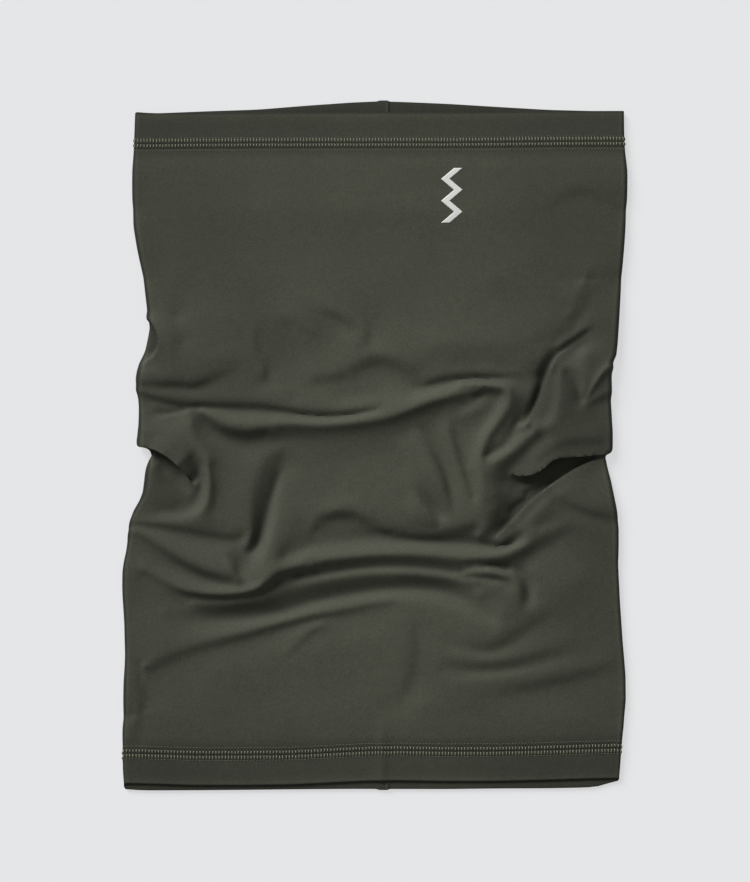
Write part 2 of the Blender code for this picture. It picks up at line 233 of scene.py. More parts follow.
# upper left creases running in from the outline
line((-98, 52, 6.9), (-90, 52, 7.2), (-78, 52, 6.8), (-66, 52, 6))
line((-117, 38.6, 6), (-106, 40.4, 7.6), (-94, 40.6, 8), (-84, 43, 7.8), (-72, 45, 7))
line((-118.6, 32.4, 5.4), (-108, 32.6, 6.8), (-98, 32.2, 7.1), (-91, 31.8, 7.2), (-82, 35.6, 7.2),
    (-74, 39, 6.8))
line((-120, 30.2, 4.5), (-110, 30.2, 5.3), (-100, 29.8, 5.6), (-93, 29, 5.8), (-86, 31.4, 6.3),
    (-78, 34.8, 6.5), (-70, 37.6, 6.3))
line((-104, 27.2, 5.5), (-94, 26.6, 5.9), (-80, 27, 6.3), (-64, 27.4, 6.2), (-50, 26.4, 5.8),
    (-40, 24, 5.3))
lip((-120.5, 28, 4.2, 0.9), (-112, 25.2, 4.6, 1.3), (-104, 22.9, 4.8, 1.4), (-97, 21.6, 4.9, 1.2),
    (-88, 21.2, 5.3, 1.1), (-75, 21.3, 5.6, 1.2), (-60, 20.9, 5.5, 1.2), (-50, 19.8, 5.4, 1.2),
    (-40, 18, 5.3, 1.1), (-30, 16.8, 5.4, 1), (-22, 16.6, 5.8, 1), (-14, 17.2, 6.3, 0.9),
    (-6, 18.6, 6.7, 0.7), (1, 20.2, 6.9, 0.2), width=1.9)
line((-112, 20.8, 3.4), (-105, 18.8, 3.4), (-99, 18.8, 3.5))
line((-111, 15.4, 3.1), (-105, 16.2, 3), (-99, 17.8, 3.2), (-94, 19.4, 3.6), (-89, 20.5, 4.2))
line((-111, 14, 3.9), (-105, 14.8, 4.1), (-99, 16.4, 4.3), (-94, 18.2, 4.7))
line((-111, 12, 4.4), (-105, 12.6, 4.7), (-99, 14.2, 5))

# the long strand: its rounded left part, then its sharp crest and the foot below it
line((-88.4, 18.2, 5.8), (-84, 15.8, 6.9), (-80, 13.8, 7.4), (-75, 12.2, 7.7), (-70, 11.2, 7.9),
    (-64, 10.8, 7.9), (-58, 11, 7.9), (-52, 11.2, 7.8))
line((-88.2, 17, 5.4), (-83.4, 13.6, 6.4), (-79.4, 11, 6.9), (-74.8, 9, 7.2), (-69.8, 7.7, 7.2),
    (-64, 7.2, 7.2), (-59, 7.9, 7.3), (-55, 8.6, 7.4))
line((-89.6, 15.4, 4.6), (-86, 11.8, 3.7), (-81.8, 8.4, 3.6), (-76.4, 5.6, 3.8), (-70, 4.2, 4.1),
    (-64, 4, 4.4), (-58, 5.2, 4.9), (-55, 5.9, 5.1))
lip((-53, 9.2, 7.5, 1), (-50, 9.7, 7.6, 1.2), (-46, 10, 7.7, 1.3), (-40, 9.8, 7.8, 1.4),
    (-33, 9.4, 7.8, 1.3), (-24, 9.4, 7.8, 1.3), (-14, 10.2, 8, 1.4), (-5, 11.5, 8.2, 1.4),
    (4, 13.3, 8.3, 1.4), (12, 15.7, 8.3, 1.5), (20, 18.6, 8.3, 1.6), (28, 21.6, 8.3, 1.6),
    (36, 23.8, 8.2, 1.5), (43, 26, 8.2, 1.2), (48, 28, 8.2, 0.8), (52, 29.4, 8.2, 0.3), width=2.2,
    shoulder=2.6, rise=0.1)
line((-18, 24, 5.3), (-6, 25, 5.4), (5, 27, 5.4))
line((-30, 31.4, 5), (-20, 32.6, 4.9), (-11, 35.2, 4.9), (-4, 39.2, 4.8), (1, 41, 4.7), (7, 39.6, 4.5),
    (13, 35.6, 4.3), (18, 31.4, 4.3))
line((-32, 35.6, 5.5), (-20, 37, 5.8), (-12, 41, 6), (-4, 45, 6.2), (2, 46.4, 6.3), (10, 44.4, 6.4),
    (18, 40.8, 6.2), (26, 40, 6))
line((20, 28.6, 4.6), (25, 29.8, 4.5), (32, 31.8, 4.5), (40, 33.3, 4.6), (50, 34, 4.9), (59, 33.8, 5.2),
    (66, 33.6, 5.6), (72, 34, 5.6))
line((26, 32.4, 5.3), (33, 34.2, 5.5), (41, 35.6, 5.7), (51, 36.2, 5.8), (60, 36, 6), (68, 36, 6),
    (76, 38, 5.9))
line((32, 41, 6.2), (45, 41.4, 6.2), (60, 41, 6.2), (72, 39.4, 6))
line((30, 52, 6.8), (50, 52, 6.8), (72, 52, 6.4), (86, 52, 5.8))
line((-83, 2, 4.6), (-76, -3, 4.2), (-67, -5, 4.1), (-58, 0, 4.2), (-50, 3, 4.4), (-42, 3.4, 4.6),
    (-34, 3, 4.8), (-24, 2, 5), (-12, 2, 5), (0, 3, 5), (12, 6, 5), (24, 11, 5), (32, 15, 5))
line((-34, -6, 4.3), (-20, -7, 4.3), (-6, -7, 4.4), (10, -3, 4.6))

# J: the strand curls over at its right end and runs down
line((44, 30.4, 8.2), (52, 31.4, 8.5), (60, 31.2, 8.9), (66, 29.8, 9.3), (69.4, 26.8, 9.6), (68.6, 22, 9.6),
    (65.6, 16, 9.4), (61.6, 10.6, 9.2), (57.8, 5.4, 9), (55.4, 0, 8.8), (54.4, -5, 8.7), (54.4, -12, 8.5),
    (54.4, -20, 8.1), (54.6, -28, 7.4), (55.2, -36, 6.6), (56.2, -43, 5.6))
line((51, 26, 6.2), (58, 26.8, 6.6), (64.4, 26, 7.2))
line((63, 21.6, 7), (59.4, 15.6, 6.8), (55.6, 9.6, 6.6), (52.2, 3.4, 6.6), (50.8, -4, 6.7),
    (50.2, -12, 6.9))
line((45, 20.6, 5.6), (50, 22, 6.1), (57, 24, 6.5))
line((46, 15.6, 6.1), (52, 18.2, 6.7), (57, 20.4, 6.7))
line((45, 12.6, 5.6), (50, 14, 6), (54.6, 15.8, 6.3))
line((71.6, 33, 5.7), (75, 31.6, 5.6), (78.4, 30.4, 5.6))
line((71.4, 27.8, 7.8), (72.6, 26, 7.8), (72.6, 23, 8.2), (70.8, 18.6, 8.4), (67.2, 12.6, 8.2),
    (63.4, 7.4, 8), (60, 2.6, 8))
line((77.4, 26.6, 6.2), (75.2, 20.4, 6.9), (71.2, 13.6, 7.2), (66.8, 7.6, 7.4), (62.4, 2.2, 7.6))
line((83, 32, 4.4), (81.2, 26, 4.8), (78.2, 19, 5.4), (73.8, 11.8, 6.2), (68.8, 5.8, 6.7), (64.2, 0.8, 7.2))

# right panel: its sharp edge over the valley, its plateau and its tucks
line((110.4, 60.6, 5.4), (104.8, 57.4, 5.45), (98.6, 53.2, 5.4), (93.6, 50.4, 5.7))
lip((111, 57.6, 4.9, 0), (106, 54.4, 4.4, 0.1), (100, 50.6, 4.5, 0.2), (95, 47, 5.4, 1.1),
    (91, 42.8, 7.4, 2.8), (88.8, 38, 9.2, 4.4), (86.8, 32.6, 9.8, 5.4), (84.4, 26, 9.8, 5.6),
    (82, 20.2, 9.6, 4.9), (79.6, 15.4, 9.2, 3.4), (76.8, 10.8, 8.7, 1.2), (75.4, 9, 8.6, 0), width=1.6,
    over=0.6, shoulder=2.4)
line((60, -8.6, 8.9), (65.8, -5.4, 9.2), (71.6, -1.4, 9.5), (77, 3.8, 9.9), (81.6, 10, 10.2),
    (84.8, 16.6, 10.2), (88, 24, 10.2))
line((108, 64, 5.3), (102, 60, 5.3), (96, 55, 5.4), (90, 49.4, 5.4), (85.6, 43, 5.2), (82.8, 37.4, 4.8))
line((100, 70, 5.6), (90, 64, 5.8), (80, 56, 6.2))
line((95.4, 40, 9.5), (94.4, 32, 10.5), (93.6, 22, 10.6), (92, 14, 10.5), (88, 9, 10.3))
line((97.2, 38, 8.4), (99.2, 31, 8.9), (101.6, 25, 8.5))
line((100, 38.6, 7.2), (102.4, 31, 7.2), (104.2, 25, 6.9), (105, 22.4, 7))
line((108, 47, 6.6), (107, 38, 7.4), (107.6, 31, 7.6), (106.8, 25.6, 7.4))
lip((107.6, 22.8, 7.4, 0.3), (110.2, 28, 8, 0.7), (113, 32.4, 8.2, 0.9), (116.4, 37, 7.7, 1.1),
    (120, 41.4, 6.6, 1.1), width=0.9, shoulder=0.9, rise=0.55)
line((119.4, 33, 5.4), (115.6, 29.8, 6.3), (111, 26, 7))
lip((107.6, 21.8, 7.6, 0.3), (112.4, 23.8, 6.8, 0.8), (119.6, 26.8, 5.4, 0.9), width=1.8)
line((119.8, 12, 4.6), (110, 12, 6.8), (101, 11.8, 9))
line((119.8, 4, 4.8), (110, 3.2, 7.2), (100, 3.2, 9), (93, 0.4, 9.2), (87, -3.6, 9), (81.4, -8.4, 8.5))
line((57.4, -4.8, 6.8), (62.4, -2.4, 6.8), (68, 1.8, 6.9), (72.6, 6.2, 7.1))
line((89, 7, 9.8), (83.4, 3.2, 8.9), (78.2, -1.8, 8.1), (73.6, -6.8, 7.3), (69.8, -12.4, 6.2),
    (66.4, -18, 5))
lip((70.6, -14.6, 6.6, 1), (74.6, -15.6, 7.4, 3.2), (79.4, -15, 8, 5), (83.8, -13.4, 8.4, 6),
    (87.2, -11, 8.6, 6.2), (90.2, -8.2, 8.5, 6), (94, -6.6, 8.4, 5.6), (100, -6.2, 7.8, 5),
    (106, -5.8, 7, 4.2), (112, -5.2, 6, 3), (118, -4.4, 4.8, 1.6), width=1.4, over=0.5, shoulder=2,
    rise=-0.1)

# pocket under the flap, and the diagonal ridge that overhangs it
lip((117.6, -6.4, 3.6, 0.2), (111, -8, 4.4, 1.2), (103, -11.2, 5.2, 2.6), (96, -15.6, 5.8, 3.6),
    (90, -19.6, 6, 4), (84, -24.2, 6.2, 4.2), (78, -29.6, 6.2, 4.2), (72, -36.2, 6, 3.8),
    (66.6, -42.4, 5.6, 2.8), (62.4, -46.6, 4.8, 1.4), width=1.4, over=0.4, shoulder=2.4)
line((86, -18.4, 2.4), (78, -21, 2.7), (71.6, -23.4, 3.6), (66, -24.6, 5.4), (61, -24.6, 7.5))
line((77, -27, 1.9), (71, -30, 2.6), (66, -31.6, 4.3), (61.6, -32.6, 6.4))
line((68.6, -37, 2.2), (64, -38.6, 3.2), (60, -39.6, 5))
line((53, -46, 4), (56.6, -48.4, 2.8), (61, -50.4, 2.3))
line((110, -12, 5), (102, -17, 5.8), (95, -22, 6.5), (88, -27.6, 6.9), (82, -33.2, 7), (77, -39, 6.6),
    (73.6, -44, 6))
lip((92, -26.6, 6.9, 0.2), (98, -27.8, 6.7, 0.6), (104, -30.6, 6.4, 0.9), (111, -33.2, 5.9, 0.9),
    (118, -35, 5.1, 0.8), (123, -36.6, 4.2, 0.4), width=2.4)
line((84, -41, 6.6), (96, -37.6, 6.2), (108, -41, 5.2), (122, -45, 3.8))

# lower ridge A: valley, crest, foot
lip((-36, -41, 4.9, 0.2), (-31, -37.4, 5.4, 0.8), (-25, -34.8, 5.8, 1.5), (-18, -33.2, 6.1, 2),
    (-11, -33.6, 6.1, 2), (-5, -36, 5.9, 1.8), (1, -38.4, 5.6, 1.6), (8, -40.2, 5.4, 1.5),
    (16, -41.4, 5.2, 1.4), (26, -42.2, 5, 1.3), (36, -41.8, 5, 1.5), (46, -40.4, 5.2, 1.8),
    (51, -39.4, 5.4, 1.6), width=3.8)
line((-30, -43, 4), (-20, -41.6, 3.6), (-10, -42, 3.4), (-2, -43, 3.3), (8, -44.6, 3.1))
line((12, -47.2, 2.6), (20, -48, 2.3), (30, -48.8, 2), (40, -49.4, 1.8), (50, -49.9, 1.8), (57, -50.6, 1.8),
    (62, -51.2, 2.1))
line((-46, -56.8, 6.6), (-38, -53.6, 5), (-30, -51.2, 4.2), (-20, -49.2, 3.6), (-10, -47.8, 3.2),
    (0, -47.2, 2.9), (10, -47.6, 2.7))
line((58, -51.6, 2.1), (64, -52, 2.4), (69, -51.2, 3.2), (72.6, -48.6, 4.2), (74.6, -45.4, 5.2))
line((63, -47.6, 4.4), (67, -48, 4.9), (70.6, -46.4, 5.4))
line((-27, -58.4, 7.7), (-20, -57.6, 7.5), (-10, -56.4, 7.3), (0, -55.6, 7.2), (10, -55.2, 7.2),
    (20, -55.4, 7.2), (30, -56, 7.2), (40, -56.8, 7.2), (48, -57.4, 7.2), (56, -57, 7.2), (63, -56.2, 7.2),
    (69, -54.8, 7.2), (74.6, -51.8, 7.2), (80, -48.2, 7), (87, -44.6, 6.8), (94, -41.6, 6.4),
    (101, -39.4, 5.9))
line((-36, -57, 7.2), (-28, -55.4, 6.5), (-18, -53.8, 5.9), (-8, -52.6, 5.6), (2, -51.8, 5.4),
    (12, -51.6, 5.2), (22, -52, 5.2), (32, -52.6, 5.2), (42, -53.4, 5.2), (52, -54, 5.3), (60, -54, 5.5),
    (67, -53.2, 5.8), (72.6, -50.6, 6))
line((78, -45, 6.9), (79.4, -41.6, 6.9))
line((-40, -66.4, 4), (-30, -65.6, 3.9), (-20, -64, 3.9), (-10, -62.6, 3.9), (0, -61.8, 3.9),
    (10, -61.4, 3.9), (20, -61.8, 3.9), (30, -62.8, 3.9), (40, -64.2, 4), (45, -65, 4.2))
line((48, -62, 5), (53, -60, 5.6), (60, -59.3, 5.9), (68, -58.6, 5.7), (76, -56.8, 5.1), (83, -53.4, 4.9),
    (90, -49.8, 5), (96, -46.6, 5.2), (103, -43.4, 5.4))
lip((-120, -63, 4.6, 0.3), (-115, -64.8, 5, 0.7), (-105, -70.2, 6, 0.8), (-98, -73.6, 6.7, 1.5),
    (-92, -75.2, 7.1, 1.9), (-85, -76, 7.5, 2), (-78, -76.2, 7.8, 2), (-71, -75.8, 8, 2),
    (-65, -75, 8.2, 2.1), (-59.6, -73.4, 8.5, 2.3), (-55, -70.6, 8.7, 2.3), (-51, -67.4, 8.7, 2.2),
    (-47.4, -64.8, 8.6, 1.9), (-43, -62.8, 8.4, 1.4), (-37.6, -61, 8.1, 0.9), (-32, -59.6, 7.8, 0.3),
    width=1.6)
line((-112, -61, 4), (-104, -64.8, 4.6), (-96, -68.4, 5.3), (-88, -71.4, 5.9), (-80, -72.4, 6.4),
    (-72, -72.4, 6.9), (-65, -71.6, 7.5), (-60, -69.6, 8))

# ridge B, in the shadow of A
line((-92, -80.2, 5.1), (-75, -80, 5.6), (-62, -78.2, 5.7), (-50, -75, 5.4), (-40, -71.2, 5.2),
    (-30, -68.6, 5.2), (-20, -66.8, 5.2), (-10, -65.4, 5.2), (0, -64.6, 5.2), (10, -64.6, 5.3),
    (20, -65, 5.3), (30, -66, 5.3), (40, -67.4, 5.3), (48, -69.2, 5.3), (56, -71, 6))

# big valley
line((-98, -85.1, 4), (-90, -86.1, 3.4), (-80, -85.7, 2.9), (-70, -84.7, 2.6), (-60, -83.7, 2.4),
    (-50, -82.1, 2.3), (-40, -79.5, 2.3), (-30, -76.9, 2.3), (-20, -74.7, 2.3), (-10, -72.9, 2.3),
    (0, -71.5, 2.3), (10, -70.7, 2.3), (20, -70.3, 2.3), (30, -70.9, 2.4), (40, -72.7, 2.8),
    (48, -76.5, 3.5))
line((-106, -84.6, 4.6), (-98, -88, 4), (-90, -89, 3.2), (-80, -88.6, 2.6), (-70, -87.6, 2.2),
    (-60, -86.4, 2), (-50, -84.8, 1.9), (-40, -82.2, 1.9), (-30, -79.4, 1.9), (-20, -77.2, 1.9),
    (-10, -75, 1.8), (0, -73.4, 1.8), (10, -72.5, 1.8), (20, -72.2, 1.8), (30, -72.8, 1.8), (40, -75, 2.2),
    (48, -79.4, 3.3), (55, -84.4, 4.4), (60, -88, 5.4))

# ridge C
line((-118, -113, 4.4), (-110, -109, 4.8), (-100, -104.4, 5.3), (-90, -101, 5.6), (-80, -98.6, 5.7),
    (-70, -96, 5.7), (-60, -93.2, 5.7), (-50, -90.4, 5.6), (-40, -87.8, 5.4), (-30, -85.6, 5.2),
    (-20, -83.8, 5), (-10, -81.8, 4.8), (0, -80, 4.6), (10, -78.8, 4.5), (20, -78.8, 4.5), (30, -80, 4.7),
    (40, -83, 5.2), (48, -87, 5.9), (54, -91, 6.4), (60, -94, 6.6))
line((-120, -119, 3.4), (-110, -114, 3.6), (-100, -109.2, 4), (-90, -105.2, 4.5), (-80, -102.6, 4.5),
    (-70, -99.8, 4.5), (-60, -96.8, 4.5), (-50, -93.8, 4.4), (-40, -91.2, 4.3), (-30, -89, 4.2),
    (-20, -87, 4.1), (-10, -84.8, 4.1), (0, -82.8, 4.1), (10, -81.2, 4.3))
line((-80, -114, 4.8), (-50, -108, 5), (-20, -102, 5.1), (0, -98, 5.1), (20, -92, 5))

# left: flap, pocket and hook
line((-119, 7, 5), (-110, 7, 5.6), (-102, 8, 6.1), (-96, 12, 6.2))
line((-119.4, 3, 5.4), (-112, 2.6, 6.3), (-104, 1.6, 6.8), (-98, 3, 6.9))
line((-96, -2, 6.9), (-96.6, -7, 6.8))
lip((-119.4, -0.8, 5.8, 1), (-114.2, -1.4, 7, 2.8), (-108.6, -4, 7.6, 4.6), (-104.2, -7.2, 7.6, 5.2),
    (-101, -9.9, 7.4, 5), (-98, -13.2, 6.6, 3.2), (-94.8, -16.4, 5.4, 1.4), (-92, -18.8, 3.7, 0.4),
    (-90.2, -20, 3.1, 0), width=1.4, over=0.4, shoulder=1.6)
line((-114.6, -6, 4.8), (-113.8, -12, 5.7), (-112.8, -18, 5.5), (-110.4, -24, 4.9), (-104, -29.6, 4))
line((-103.8, -12.6, 1.7), (-100.6, -16.6, 1.8), (-96.6, -21, 2.2), (-93, -24.4, 2.8))
line((-111.2, -9.6, 5), (-109.6, -14.6, 4.8), (-107, -20.4, 4.4), (-103.4, -25.8, 4))
line((-93, -6, 5.4), (-91.8, -11, 3.6), (-90.6, -16.4, 2.1))
line((-87, -9, 6.6), (-86.4, -15, 6), (-86.2, -22, 5.8), (-87.2, -28, 5.4))
line((-93.4, 12, 6.6), (-92.2, 6, 7), (-90.4, 0, 7.4), (-87.6, -5, 7.7), (-85.8, -10, 7.9),
    (-84.8, -16, 7.9), (-84.6, -22, 7.7), (-85.4, -28.6, 7.2), (-88.6, -33.8, 6.4), (-94, -37, 5.9),
    (-102, -38, 5.4), (-112, -37.6, 4.8), (-121, -37, 4.2))
line((-82.6, -10, 6.9), (-81.4, -18, 6.7), (-81.4, -26, 6.4), (-82.6, -34, 6))
line((-88.6, -12, 4), (-88.2, -17, 3.2), (-88.4, -23, 2.9), (-89.6, -28, 3), (-93, -32, 3.3),
    (-100, -34.4, 3.6), (-110, -34.2, 3.7))
lip((-124, -38.8, 4, 0.4), (-115, -39.2, 4.7, 0.8), (-105, -40.4, 5.2, 1.1), (-97, -42, 5.4, 1.2),
    (-88, -43.6, 5.4, 1.1), (-80, -44.8, 5.3, 1), (-72, -45.8, 5.3, 0.9), (-67, -44.4, 5.4, 0.5), width=2.4)
lip((-122, -42.8, 4.4, 0.8), (-114, -47.6, 5.2, 1.4), (-106, -53.2, 5.9, 1.9), (-98, -58, 6.5, 2.4),
    (-91, -61.6, 7, 2.6), (-85, -64, 7.3, 2.5), (-79, -66, 7.4, 2), (-73.4, -67.6, 7.4, 1.3),
    (-69, -68.4, 7.6, 0.5), width=3)
lip((-77, -56, 6.2, 0.3), (-73.4, -59.6, 6.9, 1.4), (-71.2, -63.4, 7.3, 2), (-69.6, -68.4, 7.9, 1),
    width=-1.8)

# leaf-shaped valley
line((-48, -1, 4.6), (-54.6, -6, 4.9), (-59, -13, 5.2), (-61.6, -21, 5.5), (-62.6, -30, 5.6),
    (-62.4, -39, 5.6), (-62.4, -46, 5.5), (-65.2, -52, 5.4))
line((-47.6, -8, 3.4), (-52, -16, 2.9), (-54.8, -24, 2.7), (-56.8, -31, 2.6), (-58.4, -38, 2.6),
    (-59.8, -45, 2.9), (-61.8, -50, 3.6))
line((-43, -5, 4.1), (-47.4, -11, 3), (-49.8, -18, 2), (-52.2, -26, 1.7), (-54.2, -33, 1.7),
    (-56.2, -40, 1.7), (-58.2, -47, 2.2), (-60.8, -52, 3.2), (-63.8, -54.8, 4.4))
line((-44.6, -12, 3.4), (-47.6, -20, 3.2), (-49.8, -28, 3.6), (-51.6, -36, 4.4), (-53.4, -43, 5.6),
    (-55, -50, 7), (-56.6, -57, 8.3), (-57.6, -63, 9))
line((-38, -16, 4.5), (-41, -28, 4.9), (-44, -40, 5.8), (-48, -50, 7.4), (-51, -57, 8.8))

# middle field
line((-36, -12, 4.3), (-20, -14, 4.5), (0, -14, 4.7), (14, -11, 4.8))
line((-33, -27, 5.2), (-14, -25, 5.4), (6, -25, 5.4), (16, -27, 5.4))

# creases under the J
lip((38.6, -30, 5.6, 0.5), (36.8, -26, 6, 1.1), (34.8, -18, 6.2, 1.5), (31.8, -10, 6, 1.4),
    (28.6, -3, 5.7, 1.2), (24.8, 3.4, 5.3, 0.8), (21.8, 8, 5, 0.3), width=2)
lip((48.6, -27, 6.2, 0.3), (45.8, -18, 6.4, 0.8), (42.4, -8, 6.4, 1.1), (39.6, 2, 6.2, 1.2),
    (37.6, 9, 5.8, 0.7), width=2.4)
lip((20, -24, 5.7, 0.3), (23.6, -28.6, 5.9, 1.1), (27.4, -33.4, 5.9, 1.6), (31.4, -38.6, 5.5, 1.2),
    width=-1.6)

# small eye and hook, lower right
line((50, -63.9, 6), (57, -63.3, 6.9), (63, -64.2, 7.2), (69.2, -66.4, 7.4), (73.4, -70.6, 7.5),
    (74.8, -76, 7.3), (74.4, -83, 6.9))
line((54, -61.7, 5), (58.6, -61.4, 4.3), (63.4, -61.9, 3.9), (68, -63.3, 3.8))
line((72.4, -64, 4), (76.2, -67.4, 4.1), (78.2, -72, 4.3), (78.6, -76.4, 4.9), (78, -81, 6))
line((80, -64, 5.2), (82.4, -69, 5.5), (83.2, -76, 5.9))
lip((44, -65.6, 4.8, 0.3), (50, -65.9, 5.8, 0.7), (57, -66.2, 6.6, 1), (63, -66.9, 6.9, 1),
    (67.6, -68.3, 7.1, 0.6), (70, -70.6, 7.2, 0.2), width=1.3)
line((50, -68.4, 5.7), (58, -69.6, 6.2), (64, -71, 6.6))
line((54, -76, 5.6), (61, -78, 6.2), (65, -85, 6.9))

# arcs, lower right
line((54, -95, 6.6), (60, -96.4, 6.8), (68, -91.6, 6.8), (76, -86, 6.6), (86, -79.4, 6.2), (96, -73, 5.8),
    (106, -66, 5.2))
lip((42, -96.6, 5.5, 0.3), (50, -99.6, 6, 0.8), (58, -101, 6.3, 1), (65, -98.2, 6.4, 1.1),
    (73, -92.8, 6.3, 1.1), (83, -86.6, 6.1, 0.9), (92, -81.8, 5.8, 0.5), width=4.8)
lip((32, -107.6, 5.3, 0.4), (44, -108.6, 5.8, 1.2), (55, -109.4, 6, 1.4), (66, -108.8, 6, 1.3),
    (78, -106.4, 5.8, 1.1), (90, -103, 5.4, 0.8), (100, -99.6, 5, 0.4), width=6)
lip((56, -125.6, 5.3, 0.3), (66, -123, 5.5, 0.8), (78, -120.2, 5.6, 1.1), (90, -118, 5.4, 1.2),
    (103, -114.8, 5, 1.1), (118, -110.8, 4.3, 0.7), width=4.8)
line((40, -120, 5.3), (56, -119, 5.5), (74, -116.4, 5.5), (90, -112.8, 5.2), (104, -109.6, 4.8),
    (120, -106.6, 4))

# faint wrinkles, lower middle
lip((10, -128, 4.8, 0.3), (14.6, -121, 5.1, 0.7), (17, -112, 5.3, 0.8), (17.6, -102, 5.3, 0.7),
    (16, -92, 5.1, 0.3), width=5)
line((-2, -126, 4.9), (6, -133, 4.6), (14, -136, 4.6), (26, -133, 5.2))
lip((-26, -91, 4.7, 0.1), (-32, -94, 5, 0.35), (-38, -99, 5.2, 0.35), (-44, -106, 5.2, 0.1), width=-2.4)

# left lower corner
lip((-123, -112, 3.6, 0.1), (-120.6, -121, 4, 0.6), (-120.6, -131, 4.1, 0.7), (-122.6, -142, 3.9, 0.5),
    (-125, -152, 3.6, 0.1), width=-4)

# outline tuck, upper left
lip((-114.8, 65, 4.4, 0.6), (-112, 60, 5.6, 2.2), (-110, 54.6, 6, 3), (-110.2, 50.2, 6, 3),
    (-113, 46, 5.4, 2.2), (-117, 42.4, 4.4, 0.6), width=1.5, over=0.3)

# upper right: broad soft dips beside the outline
lip((112, 94, 4.7, 0.1), (108, 86, 5, 0.6), (103.6, 77, 5.5, 0.9), (99, 68, 5.8, 0.8), (94, 60, 5.8, 0.4),
    width=-7)
lip((88, 124, 4.9, 0.1), (96, 129, 5, 0.4), (105, 132, 4.9, 0.5), (113, 130, 4.6, 0.4),
    (120, 125, 4.1, 0.1), width=4)

# faint wrinkles in the flat upper part
lip((-29, 70.8, 5.4, 0.2), (-20, 67.6, 5.6, 0.8), (-14, 63.8, 5.6, 0.9), (-9.6, 60, 5.5, 0.3), width=2.4)
lip((-5.2, 50, 6, 0.1), (-5.2, 54, 5.9, 0.6), (-5.8, 60, 5.7, 0.6), (-9, 67, 5.5, 0.2), width=3)
lip((-57.4, 32, 5.4, 0.3), (-56.4, 38, 5.6, 1), (-58.4, 43, 5.6, 0.7), (-61.4, 52, 5.7, 0.6),
    (-60.5, 62, 5.5, 0.2), width=2.4)
lip((-48, 66, 5.5, 0.2), (-40, 63, 5.6, 0.5), (-32, 58, 5.6, 0.3), width=2.4)


def smooth_line(points, step):
    """Points up to step apart along a smooth line through points."""
    points = np.array(points, float)
    if len(points) == 2:
        count = max(2, int(np.ceil(np.linalg.norm(points[1, :2] - points[0, :2]) / step)) + 1)
        share = np.linspace(0, 1, count)[:, None]
        return points[0] * (1 - share) + points[1] * share
    knots = np.vstack([2 * points[0] - points[1], points, 2 * points[-1] - points[-2]])
    stretches = []
    for a, b, c, d in zip(knots, knots[1:], knots[2:], knots[3:]):
        count = max(1, int(np.ceil(np.linalg.norm(c[:2] - b[:2]) / step)))
        t = (np.arange(count) / count)[:, None]
        stretches.append(0.5 * ((2 * b) + (-a + c) * t + (2 * a - 5 * b + 4 * c - d) * t ** 2
                                + (-a + 3 * b - 3 * c + d) * t ** 3))
    stretches.append(knots[-2][None])
    return np.vstack(stretches)


def between(table, row, column):
    """A table's values at fractional rows and columns."""
    r = np.clip(np.floor(row).astype(int), 0, table.shape[0] - 2)
    c = np.clip(np.floor(column).astype(int), 0, table.shape[1] - 2)
    more = (...,) + (None,) * (table.ndim - 2)
    down = (row - r)[more]
    across = (column - c)[more]
    low = table[r, c] * (1 - across) + table[r, c + 1] * across
    high = table[r + 1, c] * (1 - across) + table[r + 1, c + 1] * across
    return low * (1 - down) + high * down


def bend_of(z):
    """How much a grid of heights bends at each point."""
    bend = np.zeros_like(z)
    for out, heights_along in ((bend, z), (bend.T, z.T)):
        out[1:-1] += heights_along[2:] - 2 * heights_along[1:-1] + heights_along[:-2]
    return bend


def bend_force(bend):
    """The forces on the heights that a bend gives."""
    force = np.zeros_like(bend)
    for out, bend_along in ((force, bend), (force.T, bend.T)):
        inner = bend_along[1:-1]
        out[2:] += inner
        out[1:-1] -= 2 * inner
        out[:-2] += inner
    return force


def pull_force(z):
    """The forces on the heights that an even tension gives."""
    force = np.zeros_like(z)
    for out, heights_along in ((force, z), (force.T, z.T)):
        rise = np.diff(heights_along, axis=0)
        out[1:] += rise
        out[:-1] -= rise
    return force


def grid_shape(step):
    return int(round((Y1 - Y0) / step)) + 1, int(round((X1 - X0) / step)) + 1


def solve(step, z):
    """The heights, on a grid of that step, of a thin plate held by all the folds, starting from z."""
    shape = grid_shape(step)
    places = np.vstack([smooth_line(fold, min(POINT_STEP, step * POINT_SHARE)) for fold in FOLDS])
    fx = (places[:, 0] - X0) / step
    fy = (places[:, 1] - Y0) / step
    column = np.clip(np.floor(fx).astype(int), 0, shape[1] - 2)
    row = np.clip(np.floor(fy).astype(int), 0, shape[0] - 2)
    tx = fx - column
    ty = fy - row
    corner = row * shape[1] + column
    corners = np.stack([corner, corner + 1, corner + shape[1], corner + shape[1] + 1])
    weights = np.stack([(1 - tx) * (1 - ty), tx * (1 - ty), (1 - tx) * ty, tx * ty])
    hold = HOLD * step * POINT_SHARE

    def spread(values):
        return np.bincount(corners.ravel(), (weights * values).ravel(), shape[0] * shape[1]).reshape(shape)

    def force(z):
        held = (z.ravel()[corners] * weights).sum(0)
        return bend_force(bend_of(z)) / step ** 2 + TENSION * pull_force(z) + hold * spread(held)

    # conjugate gradients
    wanted = hold * spread(places[:, 2])
    residual = wanted - force(z)
    search = residual.copy()
    size = (residual * residual).sum()
    enough = TOLERANCE ** 2 * (wanted * wanted).sum()
    for _ in range(MOST_ROUNDS):
        change = force(search)
        stride = size / (search * change).sum()
        z = z + stride * search
        residual = residual - stride * change
        new_size = (residual * residual).sum()
        if new_size < enough:
            break
        search = residual + (new_size / size) * search
        size = new_size
    return z


def resample(z, step):
    """The heights z on a grid of another step."""
    for axis in (1, 0):
        old = np.arange(z.shape[axis])
        new = np.linspace(0, old[-1], grid_shape(step)[axis])
        z = np.apply_along_axis(lambda values: np.interp(new, old, values), axis, z)
    return z


